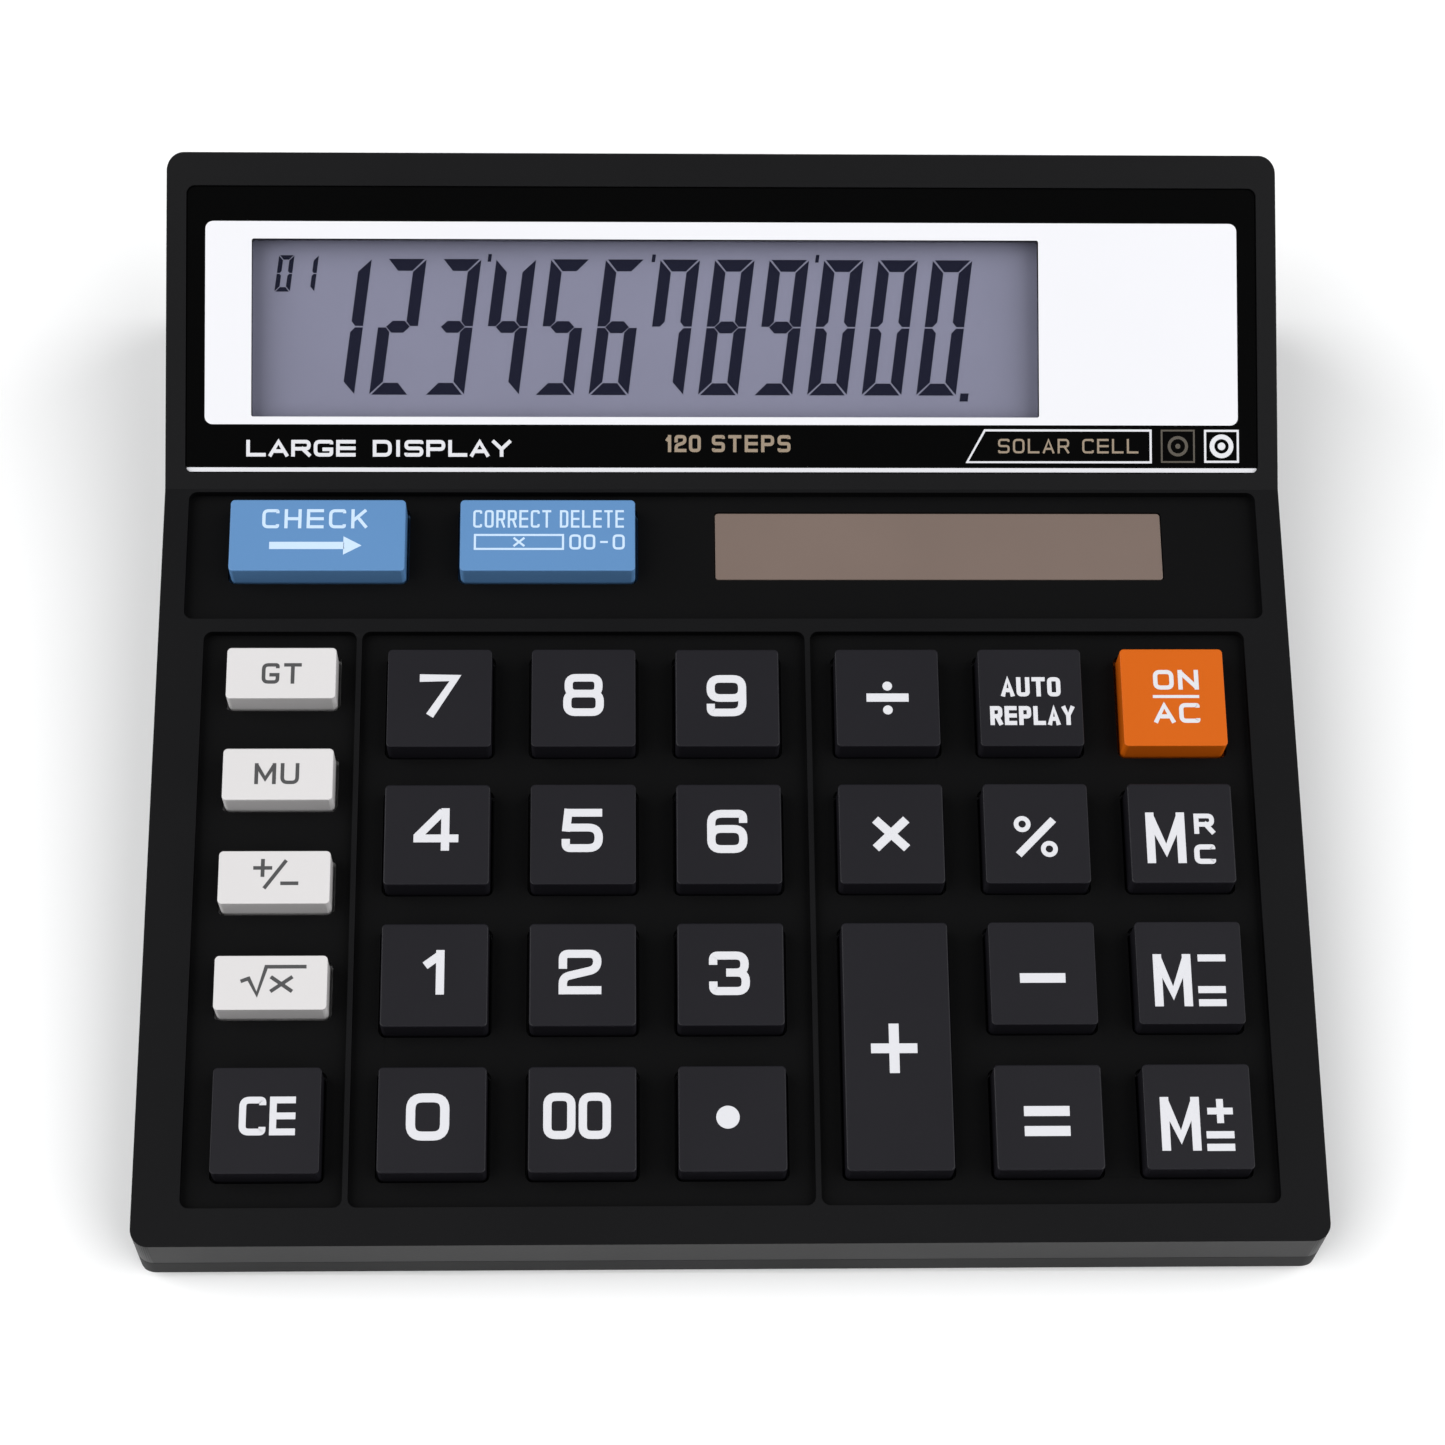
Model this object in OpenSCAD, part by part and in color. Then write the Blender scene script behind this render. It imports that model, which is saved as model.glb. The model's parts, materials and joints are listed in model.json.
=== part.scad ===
// Desk calculator: a wedge case with a sloping display, thirty sprung keys,
// a rubber keypad, a circuit board, a liquid crystal display, a solar cell
// and one AA cell behind a sliding door.
// The origin is on the desk, under the middle of the case. +X is to the right,
// +Y to the back and +Z up.

/* [Case] */
// Width of the case
body_w = 130; // [128:1:160]
// Length of the keyboard deck, from its front edge to the foot of the display
key_deck = 89.2; // [88:0.2:110]
// Length of the sloping display deck
display_deck = 39.5; // [39:0.1:50]
// Height of the front edge above the desk
front_h = 10.6; // [10.4:0.1:16]
// Slope of the keyboard deck, in degrees
key_tilt = 5.6; // [5.4:0.1:8]
// Further slope of the display deck, in degrees
display_rise = 18; // [15:1:24]
// Thickness of the side walls
wall = 1.8; // [1.5:0.1:2.2]
// Thickness of the floor
floor_t = 1.6; // [1.4:0.1:2.2]
// Thickness of the panel under the keys
panel_t = 1.6; // [1.2:0.1:2]
// Height of the joint between the two halves, above the desk
part_z = 5; // [4.6:0.1:5.6]
// Radius of the corners, seen from above
corner_r = 2; // [1.5:0.5:5]
// Chamfer around the bottom edge
base_chamfer = 0.6; // [0.4:0.1:1]
// Height of the tongue that locates the upper half
tongue_h = 1.2; // [0.8:0.1:1.6]
// Thickness of that tongue
tongue_t = 0.8; // [0.6:0.1:0.9]

/* [Panel] */
// Depth of the recessed panels below the rim
recess = 1.2; // [0.8:0.1:1.5]
// Width of the rim beside the keyboard panel
key_rim = 5.2; // [4:0.2:7]
// Width of the rim beside the upper panel
upper_rim = 2.8; // [2:0.2:4]
// Width of the rim in front of the keyboard panel
front_rim = 4.2; // [3:0.2:6]
// Distance from the foot of the display to the bar between the panels
bar_at = 16.3; // [15.5:0.1:17]
// Width of that bar
bar_w = 1.6; // [1:0.1:2]
// Width of the ribs that divide the keyboard panel in three
rib_w = 0.6; // [0.4:0.1:1]
// Radius of the panels' corners
panel_r = 1; // [0.5:0.1:1.5]

/* [Keys] */
// Distance between key centres, both ways
key_pitch = 16.33; // [16:0.01:16.6]
// Side of a square key
key_side = 11.8; // [10:0.1:12.6]
// Width of a small key in the left column
small_w = 12.4; // [10:0.1:13.2]
// Length of a small key
small_l = 6.15; // [5.6:0.05:7]
// Width of a correction key
wide_w = 20.2; // [18:0.1:22]
// Length of a correction key
wide_l = 8.9; // [7.5:0.1:9.2]
// Height of the key tops above the rim
key_rise = 2; // [1.5:0.1:3]
// Travel of a key
key_travel = 1.2; // [0.8:0.1:1.4]
// Gap between a key and its hole
key_clear = 0.35; // [0.25:0.05:0.4]
// Reach of a key's flange past its hole
flange_reach = 0.6; // [0.4:0.05:0.65]
// Thickness of the flange
flange_t = 0.8; // [0.6:0.1:1]
// Gap over a flange, where the key stops against the panel
stop_gap = 0.1; // [0.05:0.05:0.2]
// Thickness of a key's side walls
key_wall = 1; // [0.8:0.1:1.2]
// Thickness of a key's top
key_top_t = 1.2; // [1:0.1:1.6]
// Radius of a key's corners
key_r = 0.5; // [0.4:0.1:1.2]
// Radius of the post that presses a dome
post_r = 1.3; // [1:0.1:1.5]

/* [Keypad and board] */
// Gap under the flanges of fully pressed keys
mat_gap = 0.3; // [0.2:0.05:0.5]
// Thickness of the rubber sheet
mat_t = 0.6; // [0.5:0.1:0.8]
// Height of a dome
dome_h = 1.9; // [1.7:0.1:2]
// Wall of a dome
dome_wall = 0.4; // [0.3:0.05:0.5]
// Thickness of the circuit board
board_t = 1.2; // [1:0.1:1.6]
// Half width left beside the board for the case screws
board_margin = 7.2; // [7:0.1:9]
// Outer radius of the small bosses
boss_r = 1.5; // [1.3:0.1:1.6]
// Shank radius of the small screws
small_screw_r = 0.65; // [0.5:0.05:0.8]
// Head radius of the small screws
small_head_r = 1.4; // [1.2:0.1:1.6]

/* [Display] */
// Width of the rim beside the window
lens_side = 2.4; // [2:0.1:4]
// Distance from the foot of the display to the window
lens_at = 2; // [1.5:0.1:3]
// Length of the window along the slope
lens_l = 33.5; // [33:0.1:36]
// Thickness of the window
lens_t = 1.5; // [1:0.1:2]
// Depth of the window's face below the rim
lens_drop = 0.3; // [0.1:0.1:0.5]
// Thickness of the ledge under the window
ledge_t = 1.4; // [1.2:0.1:1.8]
// Left edge of the display glass, from the middle
glass_x = -58.5; // [-58.5:0.1:-56]
// Width of the display glass
glass_w = 99; // [96:0.5:104]
// Distance from the foot of the display to the glass
glass_at = 6.2; // [6:0.1:7]
// Length of the front glass
glass_l = 26.3; // [24:0.1:26.5]
// Thickness of one sheet of glass
glass_t = 0.7; // [0.5:0.1:1]
// Contact ledge of the front glass
contact_l = 2; // [1.5:0.1:2.5]
// Margin of the glass under the ledge of the case
glass_hold = 2; // [1.5:0.1:3]
// Thickness of a polariser
film_t = 0.25; // [0.2:0.05:0.3]
// Thickness of the frame behind the glass
frame_t = 1.2; // [1:0.1:1.5]

/* [Solar cell] */
// Left edge of the solar window, from the middle
solar_x = -1.2; // [-3:0.1:2]
// Width of the solar window
solar_w = 52.4; // [40:0.2:56]
// Length of the solar window
solar_l = 8.6; // [7:0.1:9.4]
// Overlap of the cell and window around the opening
solar_lap = 1; // [0.8:0.1:1.2]
// Thickness of the solar cell
cell_t = 1.1; // [0.8:0.1:1.3]

/* [Battery] */
// Diameter of the cell
battery_d = 14.5; // [13.5:0.1:14.6]
// Length of the cell, with its button
battery_l = 50.5; // [44:0.1:51]
// Space for the spring
spring_l = 4.5; // [4:0.1:6]
// Thickness of the compartment's walls
bay_wall = 1.2; // [1:0.1:1.5]
// Gap around the cell
bay_gap = 0.4; // [0.3:0.1:0.6]
// Gap around the door
door_gap = 0.25; // [0.2:0.05:0.3]
// Reach of the door's runners past the opening
runner = 0.9; // [0.7:0.1:1]
// Thickness of the floor's ledges under the runners
runner_seat = 0.6; // [0.5:0.1:0.7]
// Gap above and below the door's runners
runner_gap = 0.1; // [0.05:0.05:0.15]

/* [Feet and case screws] */
// Height of a foot below the floor
foot_h = 1; // [0.8:0.1:1.5]
// Radius of a foot
foot_r = 4; // [3:0.5:5]
// Depth that a foot sits in the floor
foot_sunk = 0.5; // [0.4:0.1:0.7]
// Shank radius of the case screws
screw_r = 1.1; // [0.9:0.1:1.2]
// Head radius of the case screws
head_r = 1.9; // [1.6:0.1:2]
// Head height of the case screws
head_h = 1.2; // [1:0.1:1.4]
// Length of the case screws under the head
screw_l = 6; // [5:0.5:6]
// Outer radius of the case bosses
case_boss_r = 2.5; // [2.4:0.1:2.7]
// Clearance of a screw in its hole
screw_clear = 0.02; // [0.01:0.01:0.05]
// Distance of the case screws from the outer side faces
screw_inset = 4; // [3.8:0.1:4.2]
// Distance of the front case screws from the front face
front_screw_at = 14; // [12:0.5:18]

/* [Hidden] */
$fn = 48;
far = 200;
least_r = 0.5;
cut = 1;
sink = 0.4;

// The whole slope, and where the two decks meet
display_tilt = key_tilt + display_rise;
body_l = key_deck * cos(key_tilt) + display_deck * cos(display_tilt);
back_y = body_l / 2;
front_y = -body_l / 2;
hinge_y = front_y + key_deck * cos(key_tilt);
hinge_z = front_h + key_deck * sin(key_tilt);
floor_z = foot_h + floor_t;
seam = 0.1;
tongue_gap = 0.05;

// Heights measured from the rim, at right angles to the keyboard deck
panel_z = -recess;
panel_under = panel_z - panel_t;
flange_top = panel_under - stop_gap;
flange_z = flange_top - flange_t;
mat_top = flange_z - key_travel - mat_gap;
board_top = mat_top - mat_t;
board_under = board_top - board_t;
dome_top = mat_top + dome_h;
dome_play = 0.1;
dome_taper = 0.72;
dome_side_gap = 0.15;
dome_largest = 3;
hole_gap = 0.15;

// Heights measured from the rim, at right angles to the display deck
lens_z = -lens_drop - lens_t;
ledge_under = lens_z - ledge_t;
front_glass_z = ledge_under - glass_t;
rear_glass_z = front_glass_z - glass_t;
film_z = rear_glass_z - film_t;
frame_z = film_z - frame_t;
lens_w = body_w - 2 * lens_side;
lens_corner = 1;
lens_gap = 0.1;
opening_r = 0.5;
film_gap = 0.2;

// The frame behind the glass
frame_wall = 1.2;
frame_gap = 0.2;
frame_side = frame_gap + frame_wall;
flex_inset = 8;
frame_tab_inset = 3;
frame_tab_y = [glass_at + frame_tab_inset, glass_at + glass_l - frame_tab_inset];
frame_post_out = frame_side + frame_gap + boss_r;
frame_post_x = [glass_x - frame_post_out, glass_x + glass_w + frame_post_out];

// Columns and rows of keys
column_0 = -32.64;
block_gap = 1.9;
row_0 = -26.8;
function column(i) = column_0 + i * key_pitch + (i > 2 ? block_gap : 0);
function row(j) = row_0 - j * key_pitch;
small_x = -50.6;
small_first = 3.05;
small_step = 12.18;
function small_row(j) = row_0 + small_first - j * small_step;
tall_l = key_pitch + key_side;
wide_above = 20.1;
wide_y = row_0 + wide_above;
check_x = -47;
correct_x = -20.5;
rib_x = [-42, 9.35];

dark = [0.13, 0.13, 0.15];
light = [0.9, 0.9, 0.9];
blue = [0.36, 0.6, 0.84];
orange = [0.91, 0.4, 0.08];

// Each key: name, centre x, centre y, width, length, colour, dome offsets along the key
DIGITS = [
    for (i = [0:2], j = [0:2])
        [str("key_", 7 - 3 * j + i), column(i), row(j), key_side, key_side, dark, [0]]
];
LAST_ROW = [
    ["key_0", column(0), row(3), key_side, key_side, dark, [0]],
    ["key_00", column(1), row(3), key_side, key_side, dark, [0]],
    ["key_point", column(2), row(3), key_side, key_side, dark, [0]]
];
OPERATORS = [
    ["key_divide", column(3), row(0), key_side, key_side, dark, [0]],
    ["key_multiply", column(3), row(1), key_side, key_side, dark, [0]],
    ["key_plus", column(3), row(2.5), key_side, tall_l, dark, [-key_pitch / 2, key_pitch / 2]],
    ["key_replay", column(4), row(0), key_side, key_side, dark, [0]],
    ["key_percent", column(4), row(1), key_side, key_side, dark, [0]],
    ["key_minus", column(4), row(2), key_side, key_side, dark, [0]],
    ["key_equals", column(4), row(3), key_side, key_side, dark, [0]],
    ["key_on", column(5), row(0), key_side, key_side, orange, [0]],
    ["key_mrc", column(5), row(1), key_side, key_side, dark, [0]],
    ["key_m_minus", column(5), row(2), key_side, key_side, dark, [0]],
    ["key_m_plus", column(5), row(3), key_side, key_side, dark, [0]]
];
LEFT_COLUMN = [
    ["key_gt", small_x, small_row(0), small_w, small_l, light, [0]],
    ["key_mu", small_x, small_row(1), small_w, small_l, light, [0]],
    ["key_sign", small_x, small_row(2), small_w, small_l, light, [0]],
    ["key_root", small_x, small_row(3), small_w, small_l, light, [0]],
    ["key_ce", small_x, row(3), key_side, key_side, dark, [0]]
];
WIDE = [
    ["key_check", check_x, wide_y, wide_w, wide_l, blue, [0]],
    ["key_correct", correct_x, wide_y, wide_w, wide_l, blue, [0]]
];
KEYS = concat(DIGITS, LAST_ROW, OPERATORS, LEFT_COLUMN, WIDE);

// Small screws through the board, where four keys meet and beside the solar cell
solar_screw_gap = 4.8;
BOARD_SCREWS = concat(
    [for (i = [0, 4], j = [0, 2]) [(column(i) + column(i + 1)) / 2, row(j) - key_pitch / 2]],
    [for (j = [0, 2]) [(column(2) + column(3)) / 2, row(j) - key_pitch / 2]],
    [[(check_x + correct_x) / 2, wide_y], [solar_x + solar_w + solar_screw_gap, wide_y]]
);

// The board and the rubber sheet
board_w = body_w - 2 * board_margin;
board_back = -0.4;
board_gap = 2.4;
board_front = -(key_deck - wall - board_gap);
mat_margin = 0.3;
mat_w = board_w - 2 * mat_margin;
mat_back = -3.4;
mat_front = board_front + mat_margin;

// Solar window
solar_y = wide_y;
window_cover = 0.65;
window_t = panel_t - window_cover;
window_gap = 0.1;
window_r = 0.4;
solar_wire_at = 8;
solar_wire_step = 4;
solar_wire_x = [solar_x + solar_wire_at, solar_x + solar_wire_at + solar_wire_step];
wire_r = 0.35;

// Case screws: x, y
case_screw_x = body_w / 2 - screw_inset;
valley_screw_at = 1;
CASE_SCREWS = [
    for (sx = [-1, 1], y = [front_y + front_screw_at, hinge_y + valley_screw_at])
        [sx * case_screw_x, y]
];
screw_depth = 1.8;
screw_seat = foot_h + screw_depth;

// Feet: distances of their centres from the outer faces
foot_inset = 11;
front_foot_at = 25;
back_foot_at = 13;
foot_gap = 0.05;

// Battery compartment
contact_t = 0.4;
back_gap = 0.3;
bay_w = battery_l + spring_l + 2 * contact_t;
bay_l = battery_d + 2 * bay_gap;
bay_back = back_y - wall - back_gap - bay_wall;
bay_front = bay_back - bay_l;
battery_y = (bay_front + bay_back) / 2;
battery_z = floor_z + bay_gap + battery_d / 2;
bay_top = battery_z + battery_d / 2 + bay_gap;
nub_r = 2.75;
nub_l = 1.3;
spring_x = -bay_w / 2 + contact_t;
battery_x = spring_x + spring_l;
lead_r = 0.5;
lead_drop = 1.2;
lead_z = bay_top - lead_drop;
lead_x = bay_w / 2 - contact_t - lead_r;

// Places its children on the keyboard deck: y runs back from the front, and is 0 at the
// foot of the display, and z is 0 at the rim
module on_keys() {
    translate([0, hinge_y, hinge_z]) rotate([key_tilt, 0, 0]) children();
}

// Places its children on the display deck: y runs up the slope from its foot
module on_display() {
    translate([0, hinge_y, hinge_z]) rotate([display_tilt, 0, 0]) children();
}

// A place on either deck as seen from the side: [y, z]
function side_point(y, z, tilt) = [
    hinge_y + y * cos(tilt) - z * sin(tilt),
    hinge_z + y * sin(tilt) + z * cos(tilt)
];

// A plate with round corners, centred on x and y, from z0 to z1
module plate(w, l, r, z0, z1) {
    translate([0, 0, z0]) linear_extrude(z1 - z0) {
        square([w - 2 * r, l], center = true);
        square([w, l - 2 * r], center = true);
        for (x = [-1, 1], y = [-1, 1])
            translate([x * (w / 2 - r), y * (l / 2 - r)]) circle(r);
    }
}

// A box given by its two opposite corners
module block(a, b) {
    translate(a) cube(b - a);
}

// All the space under both decks, lowered by the given depths
module under_decks(key_depth, display_depth) {
    on_keys() block([-far, -far, -far - key_depth], [far, far, -key_depth]);
    on_display() block([-far, -far, -far - display_depth], [far, far, -display_depth]);
}

// The plan of the case, moved in from its outer faces
module plan(inset, z0, z1) {
    plate(body_w - 2 * inset, body_l - 2 * inset, max(corner_r - inset, least_r), z0, z1);
}

// The chamfer along the bottom edge, as a limit for the lower half
module chamfer_limit(length, z0) {
    linear_extrude(far, center = true)
        polygon([
            [-length / 2 + base_chamfer, z0], [length / 2 - base_chamfer, z0],
            [length / 2, z0 + base_chamfer], [length / 2, far],
            [-length / 2, far], [-length / 2, z0 + base_chamfer]
        ]);
}

// The direction of a line of points at point i
function heading(points, i) =
    let (a = points[max(i - 1, 0)], b = points[i], c = points[min(i + 1, len(points) - 1)])
        (i == 0 ? c - b : i == len(points) - 1 ? b - a : (b - a) / norm(b - a) + (c - b) / norm(c - b));

// A round wire along a line of points. The line never runs along side, which sets the seam
module wire(points, r, side) {
    sides = 8;
    last = len(points) - 1;
    skin_points = [
        for (i = [0:last])
            let (t = heading(points, i), u = cross(t, side), v = cross(t, u))
                for (s = [0:sides - 1])
                    points[i] + r * (cos(360 * s / sides) * u / norm(u) + sin(360 * s / sides) * v / norm(v))
    ];
    skin = [
        for (i = [0:last - 1], s = [0:sides - 1])
            let (a = i * sides, b = a + sides, n = (s + 1) % sides)
                [a + s, b + s, b + n, a + n]
    ];
    first_end = [for (s = [0:sides - 1]) s];
    last_end = [for (s = [sides - 1:-1:0]) last * sides + s];
    polyhedron(points = skin_points, faces = concat(skin, [first_end, last_end]));
}

// A cross-head screw that points up, with the seat of its head at z 0
module screw(shank_r, shank_l, cap_r, cap_h) {
    slot_w = cap_r * 0.3;
    slot_l = cap_r * 1.3;
    difference() {
        union() {
            translate([0, 0, -cap_h]) cylinder(r = cap_r, h = cap_h);
            translate([0, 0, -cap_h / 2]) cylinder(r = shank_r, h = shank_l + cap_h / 2);
        }
        for (turn = [0, 90])
            rotate(turn)
                translate([0, 0, -cap_h])
                    cube([slot_l, slot_w, cap_h], center = true);
    }
}

// The upper half of the case
module top_case() {
    color([0.09, 0.09, 0.1])
    difference() {
        union() {
            difference() {
                intersection() {
                    plan(0, part_z, far / 2);
                    under_decks(0, 0);
                }
                intersection() {
                    plan(wall, part_z - cut, far / 2);
                    under_decks(-panel_under, -ledge_under);
                }
            }
            top_case_bosses();
        }
        top_case_panels();
        top_case_holes();
        difference() {
            plan(wall - tongue_t - tongue_gap, part_z - cut, part_z + tongue_h + seam);
            plan(wall + tongue_gap, part_z - 2 * cut, part_z + 2 * tongue_h);
        }
    }
}

// Bosses for the board, the display frame and the case screws
module top_case_bosses() {
    on_keys()
        for (p = BOARD_SCREWS)
            translate([p[0], p[1], board_top])
                cylinder(r = boss_r, h = panel_under - board_top + sink);
    on_display()
        for (x = frame_post_x, y = frame_tab_y)
            translate([x, y, film_z])
                cylinder(r = boss_r, h = ledge_under - film_z + sink);
    intersection() {
        for (p = CASE_SCREWS)
            translate([p[0], p[1], part_z + seam]) cylinder(r = case_boss_r, h = far / 2);
        under_decks(recess + sink, lens_drop + lens_t + sink);
        plan(wall / 2, 0, far / 2);
    }
}

// Recessed panels, the window's pocket and the openings
module top_case_panels() {
    panel_l = key_deck - bar_at - bar_w - front_rim;
    panel_mid = -(bar_at + bar_w + panel_l / 2);
    side = body_w / 2 - key_rim + rib_w / 2;
    edges = concat([-side], rib_x, [side]);
    on_keys() {
        for (i = [1:len(edges) - 1])
            translate([(edges[i - 1] + edges[i]) / 2, panel_mid, 0])
                plate(edges[i] - edges[i - 1] - rib_w, panel_l, panel_r, panel_z, cut);
        translate([0, -(bar_at + sink) / 2, 0])
            plate(body_w - 2 * upper_rim, bar_at - sink, panel_r, panel_z, cut);
        for (k = KEYS)
            translate([k[1], k[2], 0])
                plate(
                    k[3] + 2 * key_clear, k[4] + 2 * key_clear,
                    key_r + key_clear, panel_under - cut, cut
                );
        translate([solar_x + solar_w / 2, solar_y, 0]) {
            plate(solar_w, solar_l, window_r, panel_under - cut, cut);
            plate(
                solar_w + 2 * solar_lap, solar_l + 2 * solar_lap, window_r,
                panel_under - cut, panel_under + window_t
            );
        }
    }
    on_display() {
        translate([0, lens_at + lens_l / 2, 0])
            plate(lens_w + 2 * lens_gap, lens_l + 2 * lens_gap, lens_corner, lens_z, cut);
        translate([glass_x + glass_w / 2, glass_at + glass_l / 2, 0])
            plate(
                glass_w - 2 * glass_hold, glass_l - 2 * glass_hold,
                opening_r, ledge_under - cut, cut
            );
    }
}

// Holes for the threads of the screws
module top_case_holes() {
    thread_l = 2.3;
    end_gap = 0.2;
    on_keys()
        for (p = BOARD_SCREWS)
            translate([p[0], p[1], board_top - cut])
                cylinder(r = small_screw_r + screw_clear, h = thread_l + cut);
    on_display()
        for (x = frame_post_x, y = frame_tab_y)
            translate([x, y, film_z - cut])
                cylinder(r = small_screw_r + screw_clear, h = thread_l + cut);
    for (p = CASE_SCREWS)
        translate([p[0], p[1], part_z - cut])
            cylinder(r = screw_r + screw_clear, h = screw_seat + screw_l - part_z + cut + end_gap);
}

// The lower half of the case, with the battery compartment
module bottom_case() {
    color([0.1, 0.1, 0.11])
    difference() {
        union() {
            difference() {
                intersection() {
                    plan(0, foot_h, part_z - seam);
                    rotate([90, 0, 0]) chamfer_limit(body_w, foot_h);
                    rotate([90, 0, 90]) chamfer_limit(body_l, foot_h);
                }
                plan(wall, floor_z, far);
            }
            difference() {
                plan(wall - tongue_t, floor_z - sink, part_z + tongue_h);
                plan(wall, floor_z - cut, far);
            }
            for (p = CASE_SCREWS)
                translate([p[0], p[1], floor_z - sink])
                    intersection() {
                        cylinder(r = case_boss_r, h = part_z - floor_z + sink);
                        translate([-p[0], -p[1], -floor_z]) plan(wall / 2, 0, far);
                    }
            block(
                [-bay_w / 2 - bay_wall, bay_front - bay_wall, floor_z - sink],
                [bay_w / 2 + bay_wall, bay_back + bay_wall, bay_top + bay_wall]
            );
        }
        block([-bay_w / 2, bay_front, floor_z], [bay_w / 2, bay_back, bay_top]);
        battery_door_way();
        for (x = [-1, 1])
            translate([x * lead_x, bay_front, lead_z])
                cube([4 * lead_r, 4 * bay_wall, 4 * lead_r], center = true);
        for (p = CASE_SCREWS) translate([p[0], p[1], 0]) {
            cylinder(r = screw_r + hole_gap, h = far);
            cylinder(r = head_r + hole_gap, h = screw_seat);
        }
        feet(foot_r + foot_gap, foot_h + foot_sunk);
    }
}

// The way out for the door: its plate between the ledges, and its runners over them
module battery_door_way() {
    block([-bay_w / 2, bay_front, -cut], [bay_w / 2, back_y + cut, floor_z]);
    block(
        [-bay_w / 2 - runner, bay_front, foot_h + runner_seat],
        [bay_w / 2 + runner, back_y + cut, floor_z]
    );
}

// The sliding battery door, with its grip at the back
module battery_door() {
    half = bay_w / 2 - door_gap;
    grips = 5;
    grip_w = 14;
    grip_l = 0.7;
    grip_depth = 0.4;
    grip_step = 1.5;
    color([0.11, 0.11, 0.12])
    intersection() {
        difference() {
            union() {
                block([-half, bay_front + door_gap, foot_h], [half, back_y, floor_z - runner_gap]);
                block(
                    [-half - runner, bay_front + door_gap, foot_h + runner_seat + runner_gap],
                    [half + runner, back_y, floor_z - runner_gap]
                );
            }
            for (i = [1:grips])
                translate([0, back_y - base_chamfer - grip_step * i, foot_h])
                    cube([grip_w - i, grip_l, 2 * grip_depth], center = true);
        }
        rotate([90, 0, 90]) chamfer_limit(body_l, foot_h);
    }
}

// The clear window over the display
module display_lens() {
    color([0.03, 0.03, 0.04])
    on_display()
        translate([0, lens_at + lens_l / 2, 0])
            plate(lens_w, lens_l, lens_corner, lens_z, -lens_drop);
}

// The clear window over the solar cell, held from behind
module solar_window() {
    color([0.45, 0.4, 0.38, 0.6])
    on_keys() translate([solar_x + solar_w / 2, solar_y, 0]) {
        plate(
            solar_w - 2 * window_gap, solar_l - 2 * window_gap, window_r,
            panel_under + sink, panel_z - window_gap
        );
        plate(
            solar_w + 2 * solar_lap - 2 * window_gap, solar_l + 2 * solar_lap - 2 * window_gap,
            window_r, panel_under, panel_under + window_t
        );
    }
}

// The solar cell
module solar_cell() {
    color([0.35, 0.2, 0.15])
    on_keys() translate([solar_x + solar_w / 2, solar_y, 0])
        plate(
            solar_w + 2 * solar_lap - 2 * window_gap, solar_l + 2 * solar_lap - 2 * window_gap,
            window_r, panel_under - cell_t, panel_under
        );
}

// The foam pad that presses the solar cell up
module solar_pad() {
    pad_x = solar_wire_x[1] + 2 * solar_lap;
    color([0.25, 0.25, 0.25])
    on_keys()
        block(
            [pad_x, solar_y - solar_l / 2, mat_top],
            [solar_x + solar_w, solar_y + solar_lap, panel_under - cell_t]
        );
}

// The front polariser, in the opening of the ledge
module lcd_front_film() {
    color([0.5, 0.52, 0.55])
    on_display() translate([glass_x + glass_w / 2, glass_at + glass_l / 2, 0])
        plate(
            glass_w - 2 * (glass_hold + film_gap), glass_l - 2 * (glass_hold + film_gap),
            opening_r, ledge_under, ledge_under + film_t
        );
}

// The front glass of the display
module lcd_front_glass() {
    color([0.55, 0.57, 0.62])
    on_display()
        block(
            [glass_x, glass_at, front_glass_z],
            [glass_x + glass_w, glass_at + glass_l, ledge_under]
        );
}

// The rear glass, short of the contact ledge
module lcd_rear_glass() {
    color([0.5, 0.52, 0.58])
    on_display()
        block(
            [glass_x, glass_at + contact_l, rear_glass_z],
            [glass_x + glass_w, glass_at + glass_l, front_glass_z]
        );
}

// The rear polariser with its reflector
module lcd_rear_film() {
    margin = 0.5;
    color([0.7, 0.7, 0.72])
    on_display()
        block(
            [glass_x + margin, glass_at + contact_l + margin, film_z],
            [glass_x + glass_w - margin, glass_at + glass_l - margin, rear_glass_z]
        );
}

// The frame that holds the glass against the ledge
module lcd_frame() {
    x0 = glass_x - frame_gap;
    x1 = glass_x + glass_w + frame_gap;
    y0 = glass_at - frame_gap;
    y1 = glass_at + glass_l + frame_gap;
    ledge_gap = 0.05;
    color([0.85, 0.85, 0.82])
    on_display() difference() {
        union() {
            block(
                [x0 - frame_wall, y0 - frame_wall, frame_z],
                [x1 + frame_wall, y1 + frame_wall, ledge_under - ledge_gap]
            );
            for (x = frame_post_x, y = frame_tab_y)
                translate([x, y, frame_z]) cylinder(r = boss_r, h = frame_t);
            for (y = frame_tab_y)
                block(
                    [frame_post_x[0], y - boss_r, frame_z],
                    [frame_post_x[1], y + boss_r, film_z]
                );
        }
        block([x0, y0, film_z], [x1, y1, cut]);
        block(
            [glass_x + flex_inset - 2, y0 - 2 * frame_wall, film_z],
            [glass_x + glass_w - flex_inset + 2, y0 + sink, cut]
        );
        for (x = frame_post_x, y = frame_tab_y)
            translate([x, y, frame_z - cut])
                cylinder(r = small_screw_r + screw_clear, h = frame_t + 2 * cut);
    }
}

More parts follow.
